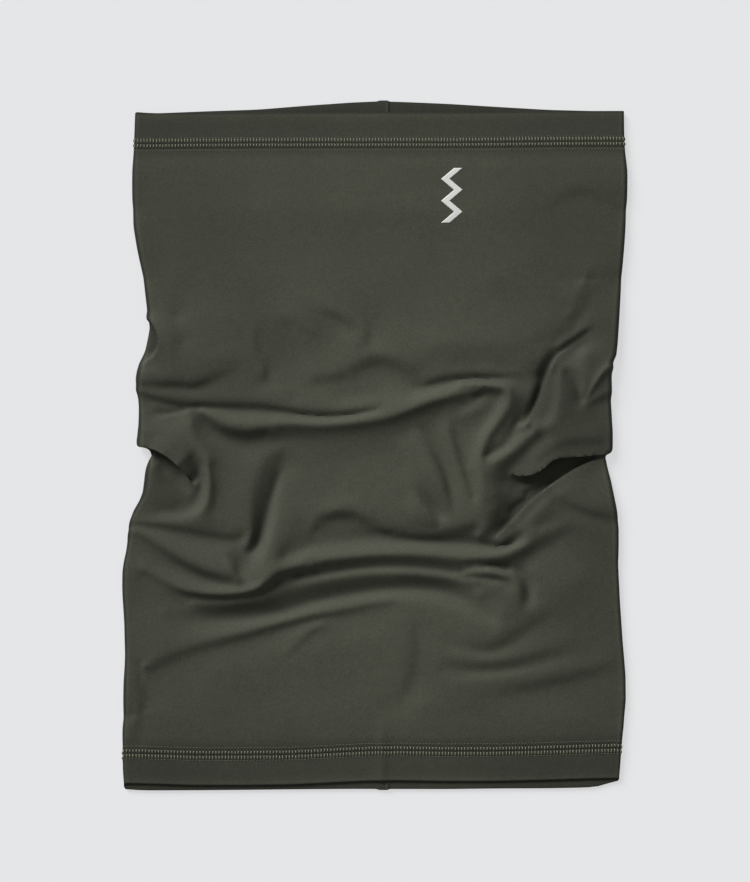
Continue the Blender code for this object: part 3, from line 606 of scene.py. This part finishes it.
def relief():
    """Heights of the front layer, solved on finer and finer grids."""
    z = np.full(grid_shape(COARSE_STEPS[0]), START_HEIGHT)
    for step in (*COARSE_STEPS, STEP):
        z = solve(step, resample(z, step))
    return np.maximum(z, LOWEST)


heights = relief()


def height(x, y):
    """Height of the front layer at (x, y)."""
    return between(heights, (y - Y0) / STEP, (x - X0) / STEP)


def smoothstep(x, low, high):
    t = np.clip((x - low) / (high - low), 0, 1)
    return t * t * (3 - 2 * t)


def smooth_curve(points, at, blur):
    """The value at each station of a line through (station, value) points, its corners rounded over blur."""
    stations, values = np.array(sorted(points), float).T
    offsets = (-1, -0.5, 0, 0.5, 1)
    return sum(np.interp(at + offset * blur, stations, values) for offset in offsets) / len(offsets)


def seam_swell(x):
    """1 over the seam allowance, 0 elsewhere."""
    return 1 / (1 + np.exp(-(x - SWELL_LEFT) / 0.35)) - 1 / (1 + np.exp(-(x - SWELL_RIGHT) / 0.25))


def sides(y):
    """x at y where the flat cloth meets the left and the right side fold."""
    left = smooth_curve(LEFT, y, OUTLINE_BLUR) + SIDE_RADIUS
    return left, smooth_curve(RIGHT, y, OUTLINE_BLUR) - SIDE_RADIUS


def column_y(top, bottom, shares):
    """y down a column whose folds are at top and bottom, with the body's rows at shares, 0 to 1."""
    hem = np.array([row[0] for row in HEM_ROWS])
    low = bottom + hem
    high = top - hem
    return np.concatenate([low, low[-1] + (high[-1] - low[-1]) * shares, high[::-1]])


def push_over(front):
    """Pushes the sharp crests out over their feet."""
    flat = front[:, :, :2].reshape(-1, 2)
    shift = np.zeros_like(flat)
    z = front[:, :, 2].reshape(-1).copy()
    for crest, side, reach, ease, width in OVERHANGS:
        stations = smooth_line(np.column_stack([crest, reach, ease]), CREST_STEP)
        directions = smooth_line(np.column_stack([crest, side]), CREST_STEP)[:, 2:]
        low = stations[:, :2].min(0) - NEARBY
        high = stations[:, :2].max(0) + NEARBY
        near = np.where(((flat > low) & (flat < high)).all(1))[0]
        best = np.full(len(near), np.inf)
        pick = np.zeros(len(near), int)
        for i, station in enumerate(stations):
            distance = ((flat[near] - station[:2]) ** 2).sum(1)
            closer = distance < best
            best[closer] = distance[closer]
            pick[closer] = i
        crest_x_y, push, hidden = stations[pick, :2], stations[pick, 2], stations[pick, 3]
        normal = directions[pick] / np.linalg.norm(directions[pick], axis=1)[:, None]
        away = flat[near] - crest_x_y
        s = (away * normal).sum(1) + hidden
        beside = np.abs(away[:, 0] * normal[:, 1] - away[:, 1] * normal[:, 0])
        at_end = np.exp(-(beside / END_FADE) ** 2)
        ahead = np.clip(1 - s / (width + hidden), 0, 1)
        weight = np.where(s < 0, np.exp(-(s / REACH_BEHIND) ** 2), ahead) * at_end
        shift[near] += normal * (weight * push)[:, None]
        # the cloth runs on evenly to the edge, at the slope it has a little way behind
        strength = np.clip(push, 0, 1) * at_end
        start = crest_x_y - normal * (hidden + EVEN_FROM)[:, None]
        further = start - normal * EVEN_BASE
        level = height(start[:, 0], start[:, 1])
        slope = np.clip((level - height(further[:, 0], further[:, 1])) / EVEN_BASE, -MOST_SLOPE, MOST_SLOPE)
        even = level + slope * (np.clip(s, -EVEN_FROM, 0) + EVEN_FROM)
        blend = strength * smoothstep(s, -EVEN_FROM, -EVEN_TO) * np.clip(1 - s / EDGE_FADE, 0, 1)
        z[near] += (even - z[near]) * blend
        # and under the edge it falls away steadily, as far as the foot
        under = np.minimum(z[near], even - UNDER_SLOPE * np.maximum(s, 0))
        before_foot = np.clip((width + hidden - s) / FOOT_FADE, 0, 1) * (s > -EVEN_TO)
        z[near] += (under - z[near]) * strength * before_foot
    front[:, :, :2] += shift.reshape(*front.shape[:2], 2)
    front[:, :, 2] = z.reshape(front.shape[:2])


def front_layer():
    """The front layer as [row, column, xyz], with its crests pushed over."""
    last = HEM_ROWS[-1][0]
    columns = []
    for share in np.linspace(0, 1, FRONT_COLUMNS):
        def across(y):
            left, right = sides(y)
            return left + (right - left) * share

        hem_x = HEM_LEFT + (HEM_RIGHT - HEM_LEFT) * share
        top = smooth_curve(TOP_FRONT, hem_x, HEM_BLUR)
        bottom = smooth_curve(BOTTOM_FRONT, hem_x, HEM_BLUR)
        dense = np.linspace(bottom + last, top - last, DENSE_ROWS)
        x = across(dense)
        steps = np.sqrt(np.diff(dense) ** 2 + np.diff(x) ** 2 + (0.9 * np.diff(height(x, dense))) ** 2)
        arc = np.concatenate([[0], np.cumsum(steps)])
        even = np.interp(np.linspace(0, arc[-1], BODY_ROWS + 2)[1:-1], arc, dense)
        y = column_y(top, bottom, (even - dense[0]) / (dense[-1] - dense[0]))
        x = across(y)
        from_fold = np.minimum(y - bottom, top - y)
        z = height(x, y) - HEM_SINK * (1 - smoothstep(from_fold, 8, 30))
        z = np.where(from_fold < HEM_DEPTH, np.maximum(z, HEM_LEAST), z)
        z -= BOTTOM_SINK * (1 - smoothstep(y - bottom, 0.5, 8))
        z += SEAM_RISE * np.exp(-((x - 4) / 2.6) ** 2) * smoothstep(-y, 136, 150)
        columns.append(np.stack([x, y, z], 1))
    front = np.stack(columns, 1)
    push_over(front)
    return front


def back_layer():
    """The back layer as [row, column, xyz], from right to left."""
    offsets = np.concatenate([np.linspace(RIGHT_SPAN, 6, 24), NEAR_SEAM, np.linspace(-8.4, -LEFT_SPAN, 24)])
    even = np.linspace(0, 1, BODY_ROWS + 2)[1:-1]
    columns = []
    for offset in offsets:
        x_at = SEAM_X + offset
        swell = SEAM_SWELL * seam_swell(x_at)
        top = smooth_curve(TOP_BACK, x_at, HEM_BLUR) + swell
        y = column_y(top, smooth_curve(BOTTOM_BACK, x_at, HEM_BLUR) - swell, even)
        left, right = sides(y)
        span, full = (right - SEAM_X, RIGHT_SPAN) if offset > 0 else (SEAM_X - left, LEFT_SPAN)
        groove = GROOVE_DEPTH * np.exp(-(offset / GROOVE_WIDTH) ** 2)
        curl = CURL * (1 - smoothstep(y - y.min(), 2, 20))
        lift = HEM_LIFT * (1 - smoothstep(np.minimum(y - y.min(), y.max() - y), 21, 32))
        columns.append(np.stack([SEAM_X + offset * span / full, y, BACK_Z + lift + groove + curl], 1))
    return np.stack(columns, 1)


def side_fold(a, b, inward, sign):
    """Columns round a side fold, from column a to column b, bulging out to the side of sign."""
    half = (a - b) / 2
    bulge = np.maximum(np.abs(half[:, 2]) + TURN_GAP * inward, FABRIC) - TURN_GAP * inward
    columns = []
    for k in range(SIDE_COLUMNS):
        angle = math.pi * (k + 1) / (SIDE_COLUMNS + 1)
        column = (a + b) / 2 + half * math.cos(angle)
        column[:, 0] += sign * np.maximum(bulge, 0.15) * math.sin(angle)
        columns.append(column)
    return np.stack(columns, 1)


def tube_grid():
    """The tube's cloth as [row, column, xyz], hems turned in, and how far each row is along the cloth."""
    hem, turned_in = np.array(HEM_ROWS).T
    inward = np.concatenate([turned_in, np.zeros(BODY_ROWS), turned_in[::-1]])
    front = front_layer()
    front[:, :, 2] -= TURN_GAP * inward[:, None]
    back = back_layer()
    back[:, :, 2] += TURN_GAP * inward[:, None]
    right = side_fold(front[:, -1], back[:, 0], inward, 1)
    left = side_fold(back[:, -1], front[:, 0], inward, -1)
    turned = hem * np.where(np.arange(len(hem)) < FOLD_ROW, -1, 1)
    body_rows = turned[-1] + (TUBE_LENGTH - 2 * turned[-1]) * np.linspace(0, 1, BODY_ROWS + 2)[1:-1]
    along = np.concatenate([turned, body_rows, TUBE_LENGTH - turned[::-1]])
    return np.concatenate([front, right, back, left], axis=1), along


def grid_normals(grid):
    across = np.roll(grid, -1, 1) - np.roll(grid, 1, 1)
    n = np.cross(across, np.gradient(grid, axis=0))
    return n / np.maximum(np.linalg.norm(n, axis=2), 1e-9)[:, :, None]


# Materials --------------------------------------------------------------

def make_material(name, colour, roughness, specular=0.3):
    m = bpy.data.materials.new(name)
    m.use_nodes = True
    shader = m.node_tree.nodes["Principled BSDF"]
    shader.inputs["Base Color"].default_value = (*colour, 1)
    shader.inputs["Roughness"].default_value = roughness
    shader.inputs["Specular IOR Level"].default_value = specular
    return m, shader


def node(tree, kind, sources=(), **settings):
    """A new node whose inputs take sources, each a socket or a number, in order."""
    n = tree.nodes.new(kind)
    for key, value in settings.items():
        setattr(n, key, value)
    for i, source in enumerate(sources):
        if isinstance(source, bpy.types.NodeSocket):
            tree.links.new(source, n.inputs[i])
        else:
            n.inputs[i].default_value = source
    return n


def maths(tree, operation, *sources):
    return node(tree, "ShaderNodeMath", sources, operation=operation).outputs[0]


def product(tree, *sources):
    total = sources[0]
    for source in sources[1:]:
        total = maths(tree, "MULTIPLY", total, source)
    return total


def spread(tree, value, share):
    """A factor that varies with value, 0 to 1, by share round 1."""
    return maths(tree, "MULTIPLY_ADD", value, share, 1 - share / 2)


def ramp(tree, value, low, high, to_low=0.0, to_high=1.0):
    sources = (value, low, high, to_low, to_high)
    return node(tree, "ShaderNodeMapRange", sources, clamp=True, interpolation_type="SMOOTHSTEP").outputs[0]


def noise(tree, scale, detail, roughness):
    """Noise fixed to the object, scale in cycles a metre."""
    place = node(tree, "ShaderNodeTexCoord").outputs["Object"]
    n = node(tree, "ShaderNodeTexNoise")
    tree.links.new(place, n.inputs["Vector"])
    n.inputs["Scale"].default_value = scale
    n.inputs["Detail"].default_value = detail
    n.inputs["Roughness"].default_value = roughness
    return n.outputs["Fac"]


def tint(tree, shader, colour, factor):
    """Gives the shader the colour times a factor."""
    scaled = node(tree, "ShaderNodeVectorMath", (colour,), operation="SCALE")
    tree.links.new(factor, scaled.inputs["Scale"])
    tree.links.new(scaled.outputs[0], shader.inputs["Base Color"])


def add_bump(tree, shader, level, strength, distance):
    """Gives the shader a bump of level, with distance in metres."""
    bump = node(tree, "ShaderNodeBump")
    bump.inputs["Strength"].default_value = strength
    bump.inputs["Distance"].default_value = distance
    tree.links.new(level, bump.inputs["Height"])
    tree.links.new(bump.outputs[0], shader.inputs["Normal"])


def knit_pattern(tree, around, along):
    """The knit: wales as ridges, courses as small waves that lean from one wale to the next."""
    wale = maths(tree, "FRACT", maths(tree, "DIVIDE", around, KNIT_WALE))
    lean = maths(tree, "ABSOLUTE", maths(tree, "SUBTRACT", wale, 0.5))
    tilt = maths(tree, "MULTIPLY", lean, 6.0)
    course = maths(tree, "SINE", maths(tree, "MULTIPLY_ADD", along, 2 * math.pi / KNIT_COURSE, tilt))
    ridge = maths(tree, "SINE", maths(tree, "MULTIPLY", wale, math.pi))
    return maths(tree, "MULTIPLY", ridge, maths(tree, "MULTIPLY_ADD", course, 0.3, 0.7))


def needle_holes_and_shade(tree, around, along):
    """Dots where the needles pulled the cloth in, once each stitch at both hems, used as dimples in the bump
    and as painted shade in the colour.
    """
    turn = maths(tree, "FRACT", maths(tree, "MULTIPLY_ADD", around, 1 / PITCH, 1.0))
    holes_and_shade = None
    for from_fold, half_width, half_height, dark in HOLES_AND_SHADE:
        wide = maths(tree, "MULTIPLY_ADD", turn, PITCH / half_width, -0.5 * PITCH / half_width)
        for place in (from_fold, TUBE_LENGTH - from_fold):
            tall = maths(tree, "MULTIPLY_ADD", along, 1 / half_height, -place / half_height)
            squares = [maths(tree, "MULTIPLY", side, side) for side in (wide, tall)]
            hole = ramp(tree, maths(tree, "ADD", *squares), 0.25, 1.3, dark, 0.0)
            holes_and_shade = hole if holes_and_shade is None else maths(tree, "MAXIMUM", holes_and_shade, hole)
    return holes_and_shade


def jersey_material():
    m, shader = make_material("jersey", JERSEY, 0.78, 0.22)
    shader.inputs["Sheen Weight"].default_value = 0.06
    tree = m.node_tree
    cloth = node(tree, "ShaderNodeUVMap", uv_map="cloth").outputs[0]
    around, along = node(tree, "ShaderNodeSeparateXYZ", (cloth,)).outputs[:2]
    # the shade attribute holds the painted shade and highlights from cloth_shade
    shade = node(tree, "ShaderNodeAttribute", attribute_name="shade").outputs["Fac"]
    knit = knit_pattern(tree, around, along)
    holes_and_shade = needle_holes_and_shade(tree, around, along)
    grain = noise(tree, 1100.0, 2.0, 0.7)
    slub = noise(tree, 260.0, 3.0, 0.6)
    patch = noise(tree, 28.0, 2.0, 0.5)
    knit_light = maths(tree, "MULTIPLY_ADD", knit, 0.16, 0.93)
    # painted shade at the needle dots, in and between the stitches
    hole_painted_shade = maths(tree, "MULTIPLY_ADD", holes_and_shade, -0.85, 1.0)
    uneven = product(tree, spread(tree, grain, GRAIN), spread(tree, slub, SLUB), spread(tree, patch, PATCH))
    tint(tree, shader, JERSEY, product(tree, uneven, knit_light, shade, hole_painted_shade))
    tree.links.new(ramp(tree, slub, 0.3, 0.7, 0.72, 0.84), shader.inputs["Roughness"])
    level = maths(tree, "ADD", maths(tree, "MULTIPLY", knit, 0.5), maths(tree, "MULTIPLY", grain, 0.8))
    add_bump(tree, shader, maths(tree, "MULTIPLY_ADD", holes_and_shade, -1.5, level), 0.5, 0.00012)
    return m


def fine_material(name, colour, roughness, scale, share, specular=0.35):
    """Thread, ink or tape: a colour with fine variation, and a bump of the same grain."""
    m, shader = make_material(name, colour, roughness, specular)
    tree = m.node_tree
    grain = noise(tree, scale, 3.0, 0.6)
    tint(tree, shader, colour, spread(tree, grain, share))
    rough = ramp(tree, grain, 0.3, 0.7, roughness - 0.06, roughness + 0.06)
    tree.links.new(rough, shader.inputs["Roughness"])
    add_bump(tree, shader, grain, 0.4, 0.00008)
    return m


# Pieces -----------------------------------------------------------------

def make_piece(name, points, faces, mat, slot, replaced=(), smooth=True):
    """A piece from points in mm, riding on the one body."""
    mesh = bpy.data.meshes.new(name)
    metres = np.asarray(points).reshape(-1, 3) * MM
    mesh.from_pydata(metres.tolist(), [], [list(map(int, f)) for f in faces])
    mesh.update()
    o = bpy.data.objects.new(name, mesh)
    bpy.context.scene.collection.objects.link(o)
    mesh.materials.append(mat)
    if smooth:
        mesh.shade_smooth()
    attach(o, "root")
    if replaced:
        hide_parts(*replaced)
    return o


def ring_faces(rows, columns):
    """Quads between rows of closed rings."""
    first = np.arange(rows - 1)[:, None] * columns
    column = np.arange(columns)[None, :]
    a = first + column
    b = first + (column + 1) % columns
    return np.stack([a, b, b + columns, a + columns], -1).reshape(-1, 4)


def loft(rings):
    """Points and faces of a closed form through rings [ring, point, xyz], capped at both ends."""
    rings = np.asarray(rings)
    n, m = rings.shape[:2]
    faces = ring_faces(n, m).tolist()
    faces.append(list(range(m))[::-1])
    faces.append(list(range((n - 1) * m, n * m)))
    return rings.reshape(-1, 3), faces


def threads(name, paths, normals, radii, replaced, sides=6):
    """Round threads with closed ends in one piece, along paths [thread, point, xyz]."""
    paths = np.asarray(paths)
    along = np.gradient(paths, axis=1)
    along /= np.linalg.norm(along, axis=2)[:, :, None]
    across = np.cross(along, normals)
    across /= np.linalg.norm(across, axis=2)[:, :, None]
    lift = np.cross(across, along)
    angle = np.arange(sides) * 2 * math.pi / sides
    spoke = across[:, :, None] * np.cos(angle)[:, None] + lift[:, :, None] * np.sin(angle)[:, None]
    rings = paths[:, :, None] + spoke * np.asarray(radii)[:, None, None]
    points = []
    faces = []
    for thread in rings:
        thread_points, thread_faces = loft(thread[:, ::-1])
        first = len(points) * len(thread_points)
        faces += [[i + first for i in face] for face in thread_faces]
        points.append(thread_points)
    return make_piece(name, np.concatenate(points), faces, thread_yarn, "sewing_thread", replaced)


grid, along = tube_grid()
normals = grid_normals(grid)
rows, columns = grid.shape[:2]


class Hem:
    """The outside of one hem, to place stitches on."""

    def __init__(self, top):
        picked = np.arange(OUTER_ROW, len(HEM_ROWS))
        self.distances = np.array([HEM_ROWS[i][0] for i in picked])
        picked = rows - 1 - picked if top else picked
        wrapped = np.r_[0:columns, 0]
        self.points = grid[picked][:, wrapped]
        self.normals = normals[picked][:, wrapped]
        middle = self.points[np.argmin(np.abs(self.distances - MIDDLE_OF_STITCHES))]
        steps = np.linalg.norm(np.diff(middle, axis=0), axis=1)
        self.arcs = np.concatenate([[0], np.cumsum(steps)]) * STITCHES * PITCH / steps.sum()
        self.flip = 1 if top else -1

    def blend(self, table, arc, distance):
        """The table's values at arc round the hem and distance from its fold."""
        column = np.interp(arc % self.arcs[-1], self.arcs, np.arange(columns + 1))
        row = np.interp(distance, self.distances, np.arange(len(self.distances)))
        return between(table, row, column)

    def place(self, arc, distance, lift):
        """Points lifted off the hem, and the hem's normals there."""
        n = self.blend(self.normals, arc, distance)
        n /= np.linalg.norm(n, axis=-1)[..., None]
        return self.blend(self.points, arc, distance) + n * lift, n

    def stitches(self, shape, rng, jitter=0.05):
        """Paths and normals of one stitch [(mm along, mm from the fold, mm of lift)], at every stitch."""
        shape = np.array(shape)
        starts = (np.arange(STITCHES) + 0.5) * PITCH + rng.normal(0, jitter, STITCHES)
        arc = starts[:, None] + shape[:, 0] * self.flip
        distance = shape[:, 1] + rng.normal(0, jitter, (STITCHES, 1))
        return self.place(arc, distance, shape[:, 2][:, None])

    def looper(self):
        """Path and normals of the looper's thread, swinging between the rows on the inside."""
        k = np.arange(STITCHES * 4) + 0.5
        swing = 16.8 + 2.7 * np.sign(np.sin(2 * math.pi * k / 8))
        return self.place(k * PITCH / 4, swing, -1.15 * TURN_GAP)


def cloth_uv(mesh, top, bottom):
    """A UV map in mm of cloth: round the tube, and along it."""
    share = smoothstep(along, 24, TUBE_LENGTH - 24)[:, None]
    around = bottom.arcs * (1 - share) + top.arcs * share
    first = np.arange(rows - 1)[:, None]
    column = np.arange(columns)[None, :]
    corners = []
    for row_step, column_step in ((0, 0), (0, 1), (1, 1), (1, 0)):
        row = first + row_step + 0 * column
        corners.append(np.stack([around[row, column + column_step], along[row]], -1))
    layer = mesh.uv_layers.new(name="cloth")
    layer.data.foreach_set("uv", np.stack(corners, 2).reshape(-1).astype(np.float32))


def softened(z, reach):
    """A table of heights averaged over a square of cells, twice over."""
    kernel = np.ones(2 * reach + 1) / (2 * reach + 1)
    for axis in (0, 1, 0, 1):
        edges = [(reach, reach) if axis == a else (0, 0) for a in (0, 1)]
        z = np.apply_along_axis(np.convolve, axis, np.pad(z, edges, mode="edge"), kernel, "valid")
    return z


def cloth_shade(mesh):
    """Palest in the middle, darker on the hems, with painted shade at the side folds, valleys and creases and
    painted highlights on rims.
    """
    x = grid[:, :, 0]
    # painted shade: the light falls off towards both side folds
    sideways = 1 - SIDE_SHADE_LEFT * smoothstep(-x, 10, 118) - SIDE_SHADE_RIGHT * smoothstep(x, 20, 122)
    from_fold = np.minimum(along, TUBE_LENGTH - along)[:, None]
    shade = sideways * (1 - HEM_SHADE * (1 - smoothstep(from_fold, 19, 25)))
    # painted shade along the hems' creases and painted highlights on their rims
    for row, factor in FOLD_SHADES.items():
        shade[[row, rows - 1 - row]] *= factor
    z = grid[:, :FRONT_COLUMNS, 2]
    # painted shade in the front layer's valleys
    shade[:, :FRONT_COLUMNS] *= 1 - CAVITY * smoothstep(softened(z, 5) - z, 0.3, 3.0)
    # painted highlight just inside both side folds
    shade[:, [0, 1, FRONT_COLUMNS - 1, FRONT_COLUMNS - 2]] *= SIDE_RIM_HIGHLIGHT
    # painted shade round both side folds, deepest on the one that faces the light
    for k, factor in enumerate(SIDE_SHADES):
        shade[:, FRONT_COLUMNS + k] *= factor
        shade[:, columns - 1 - k] *= factor * LIT_SIDE
    shade[-FOLD_ROW:, FRONT_COLUMNS + SIDE_COLUMNS:columns - SIDE_COLUMNS] *= INNER_SHADE
    attribute = mesh.attributes.new("shade", "FLOAT", "POINT")
    attribute.data.foreach_set("value", shade.reshape(-1).astype(np.float32))


# Body
jersey = jersey_material()
thread_yarn = fine_material("sewing_thread", THREAD, 0.6, 2600.0, 0.4)
hems = {"top": Hem(True), "bottom": Hem(False)}
body = make_piece("gaiter_body", grid, ring_faces(rows, columns), jersey, "jersey", ["body_panel"])
cloth_uv(body.data, hems["top"], hems["bottom"])
cloth_shade(body.data)
body.data.set_sharp_from_angle(angle=math.radians(SHARP))

# Coverstitch: three needle rows and the covering bars outside, and a looper inside
rng = np.random.default_rng(7)
for name, hem in hems.items():
    bars = hem.stitches(COVER_BAR, rng)
    threads(f"{name}_cover_stitches", *bars, COVER_RADII, [f"{name}_hem_cover_thread"])
    for i, (from_fold, radius, stitch) in enumerate(NEEDLE_ROWS, 1):
        shape = [(run, from_fold + off, lift * radius / THREAD_RADIUS) for run, off, lift in stitch]
        row = hem.stitches(shape, rng)
        replaced = [f"{name}_hem_needle_thread_{i}"]
        threads(f"{name}_needle_row_{i}", *row, radius * NEEDLE_TAPER, replaced)
    path, path_normals = hem.looper()
    radii = np.full(len(path), 0.14)
    replaced = [f"{name}_hem_looper_thread"]
    threads(f"{name}_looper", path[None], path_normals[None], radii, replaced, 5)

# Back seam: the allowance's two plies and its four overlock threads, inside the tube
lower = BACK_Z + 0.12
upper = lower + PLY * 2
free_edge = [(0, 0), (-0.3, PLY * 0.5), (0, PLY * 0.96), (0, PLY * 1.04), (-0.3, PLY * 1.5), (0, PLY * 2)]
seam_edge = [(SEAM_X - 1.0, upper), (SEAM_X + 0.15, BACK_Z + 0.35), (SEAM_X - 0.6, lower)]
rings = []
for y in np.linspace(-SEAM_HALF_LENGTH, SEAM_HALF_LENGTH, 90):
    free = SEAM_X - ALLOWANCE + 0.18 * math.sin(y / 7.0)
    profile = [(free + dx, lower + dz) for dx, dz in free_edge] + seam_edge
    rings.append([(x, y, z) for x, z in profile])
make_piece("seam_allowance", *loft(rings), jersey, "jersey")


def seam_path(step, across, z):
    """A thread along the seam that visits the values of across and z in turn."""
    y = np.arange(1 - SEAM_HALF_LENGTH, SEAM_HALF_LENGTH - 1, step)
    k = np.arange(len(y))
    return np.stack([SEAM_X - np.array(across)[k % len(across)], y, np.array(z)[k % len(z)]], 1)[None]


upward = np.array([[[0.0, 0.0, 1.0]]])
left_stitch = [upper - 0.1, upper + 0.12, upper + 0.12, upper - 0.1]
right_stitch = [upper - 0.15, upper + 0.05, upper + 0.05, upper - 0.15]
for name, step, across, z, radius in (
        ("needle_thread_left", 0.65, [3.2], left_stitch, 0.15),
        ("needle_thread_right", 0.65, [1.2], right_stitch, 0.15),
        ("upper_looper", 0.7, [6.0, 5.0, 2.6, 2.4, 3.2, 5.2], [upper + 0.1], 0.14),
        ("lower_looper", 0.7, [5.9, 4.8, 2.5, 2.5, 3.4, 5.0], [lower], 0.12)):
    path = seam_path(step, across, z)
    radii = np.full(path.shape[1], radius)
    threads(f"back_seam_{name}_loops", path, upward, radii, [f"back_seam_{name}"], 5)

# Care label: a blank tape folded double, caught in the seam
label_low, label_high = (Vector(v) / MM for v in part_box("care_label"))
tape = fine_material("label_tape", TAPE, 0.45, 1500.0, 0.12)
seam_x = label_low.x
fold_x = label_high.x
profile = [(seam_x - 2.2, 0.62), (seam_x + 4, 0.74), (fold_x - 0.6, 0.74), (fold_x - 0.1, 0.84),
           (fold_x, 1.0), (fold_x - 0.1, 1.16), (fold_x - 0.6, 1.26), (seam_x + 4, 1.26), (seam_x, 1.1),
           (seam_x, 0.98),
           (seam_x + 4, 1.08), (fold_x - 0.9, 1.06), (fold_x - 0.7, 1.0), (fold_x - 0.9, 0.94),
           (seam_x + 4, 0.92), (seam_x - 2.2, 0.82)]
stations = np.linspace(label_low.y, label_high.y, 14)
rings = [[(x, y, z + 0.1 * math.sin(y / 5.0)) for x, z in profile] for y in stations]
make_piece("care_label_tape", *loft(rings), tape, "label_tape", ["care_label"], False)

# Front print: a plain zigzag band in place of a word
PRINT_X, PRINT_Y, PRINT_LENGTH = 39.5, 127.5, 28.0
PRINT_SWING, PRINT_STROKE, PRINT_STEPS = 3.3, 4.4, 5
PRINT_LIFT, PRINT_SOAK = 0.15, 0.05
ink = fine_material("print_ink", INK, 0.62, 1900.0, 0.16)
corner_swings = [PRINT_SWING * (1 if i % 2 else -1) for i in range(PRINT_STEPS + 1)]
stations = np.linspace(0, PRINT_STEPS, PRINT_STEPS * 14 + 1)
rings = []
for s, swing in zip(stations, np.interp(stations, np.arange(PRINT_STEPS + 1), corner_swings)):
    y = PRINT_Y + PRINT_LENGTH * (s / PRINT_STEPS - 0.5)
    x = PRINT_X + swing + PRINT_STROKE * np.linspace(-0.5, 0.5, 7)
    surface = height(x, np.full(7, y))
    top_side = [(a, y, b + PRINT_LIFT) for a, b in zip(x, surface)]
    under = [(a, y, b - PRINT_SOAK) for a, b in zip(x, surface)]
    rings.append(top_side + under[::-1])
make_piece("front_print_zigzag", *loft(rings), ink, "print_ink", ["front_print"])

# Stage, light and camera ------------------------------------------------

FLOOR_SIZE, FLOOR_Z = 4.0, -0.00005    # m
bpy.ops.mesh.primitive_plane_add(size=FLOOR_SIZE, location=(0, 0, FLOOR_Z))
floor = bpy.context.object
floor.name = "studio_floor"
paper, paper_shader = make_material("studio_paper", (0.18, 0.181, 0.185), 0.95, 0.0)
paper_shader.inputs["Emission Color"].default_value = (0.985, 0.99, 1.0, 1)
paper_shader.inputs["Emission Strength"].default_value = 0.615
floor.data.materials.append(paper)

world = bpy.data.worlds.new("soft_room")
bpy.context.scene.world = world
world.use_nodes = True
world.node_tree.nodes["Background"].inputs["Color"].default_value = (1, 1, 1, 1)
world.node_tree.nodes["Background"].inputs["Strength"].default_value = AMBIENT

KEY_ELEVATION = math.radians(27)
KEY_TURN = math.radians(37)
KEY_SPREAD = math.radians(30)
key = bpy.data.lights.new("key", "SUN")
key.energy = (1 - AMBIENT) * math.pi / math.sin(KEY_ELEVATION)
key.angle = KEY_SPREAD
lamp = bpy.data.objects.new("key", key)
level_part = math.cos(KEY_ELEVATION)
toward = Vector((level_part * math.sin(KEY_TURN), -level_part * math.cos(KEY_TURN), -math.sin(KEY_ELEVATION)))
lamp.rotation_euler = toward.to_track_quat("-Z", "Y").to_euler()
bpy.context.scene.collection.objects.link(lamp)

CAMERA_HEIGHT = 2.0      # m
FOCUS_Z = 0.004          # m, level at which the view is VIEW_HEIGHT high
VIEW_HEIGHT = 0.44982    # m
cam = bpy.data.cameras.new("camera")
cam.sensor_fit = "VERTICAL"
cam.sensor_height = 24
cam.lens = cam.sensor_height * (CAMERA_HEIGHT - FOCUS_Z) / VIEW_HEIGHT
camera = bpy.data.objects.new("camera", cam)
camera.location = (0.0003, 0.0023, CAMERA_HEIGHT)
bpy.context.scene.collection.objects.link(camera)
bpy.context.scene.camera = camera
bpy.context.scene.view_settings.view_transform = "Standard"
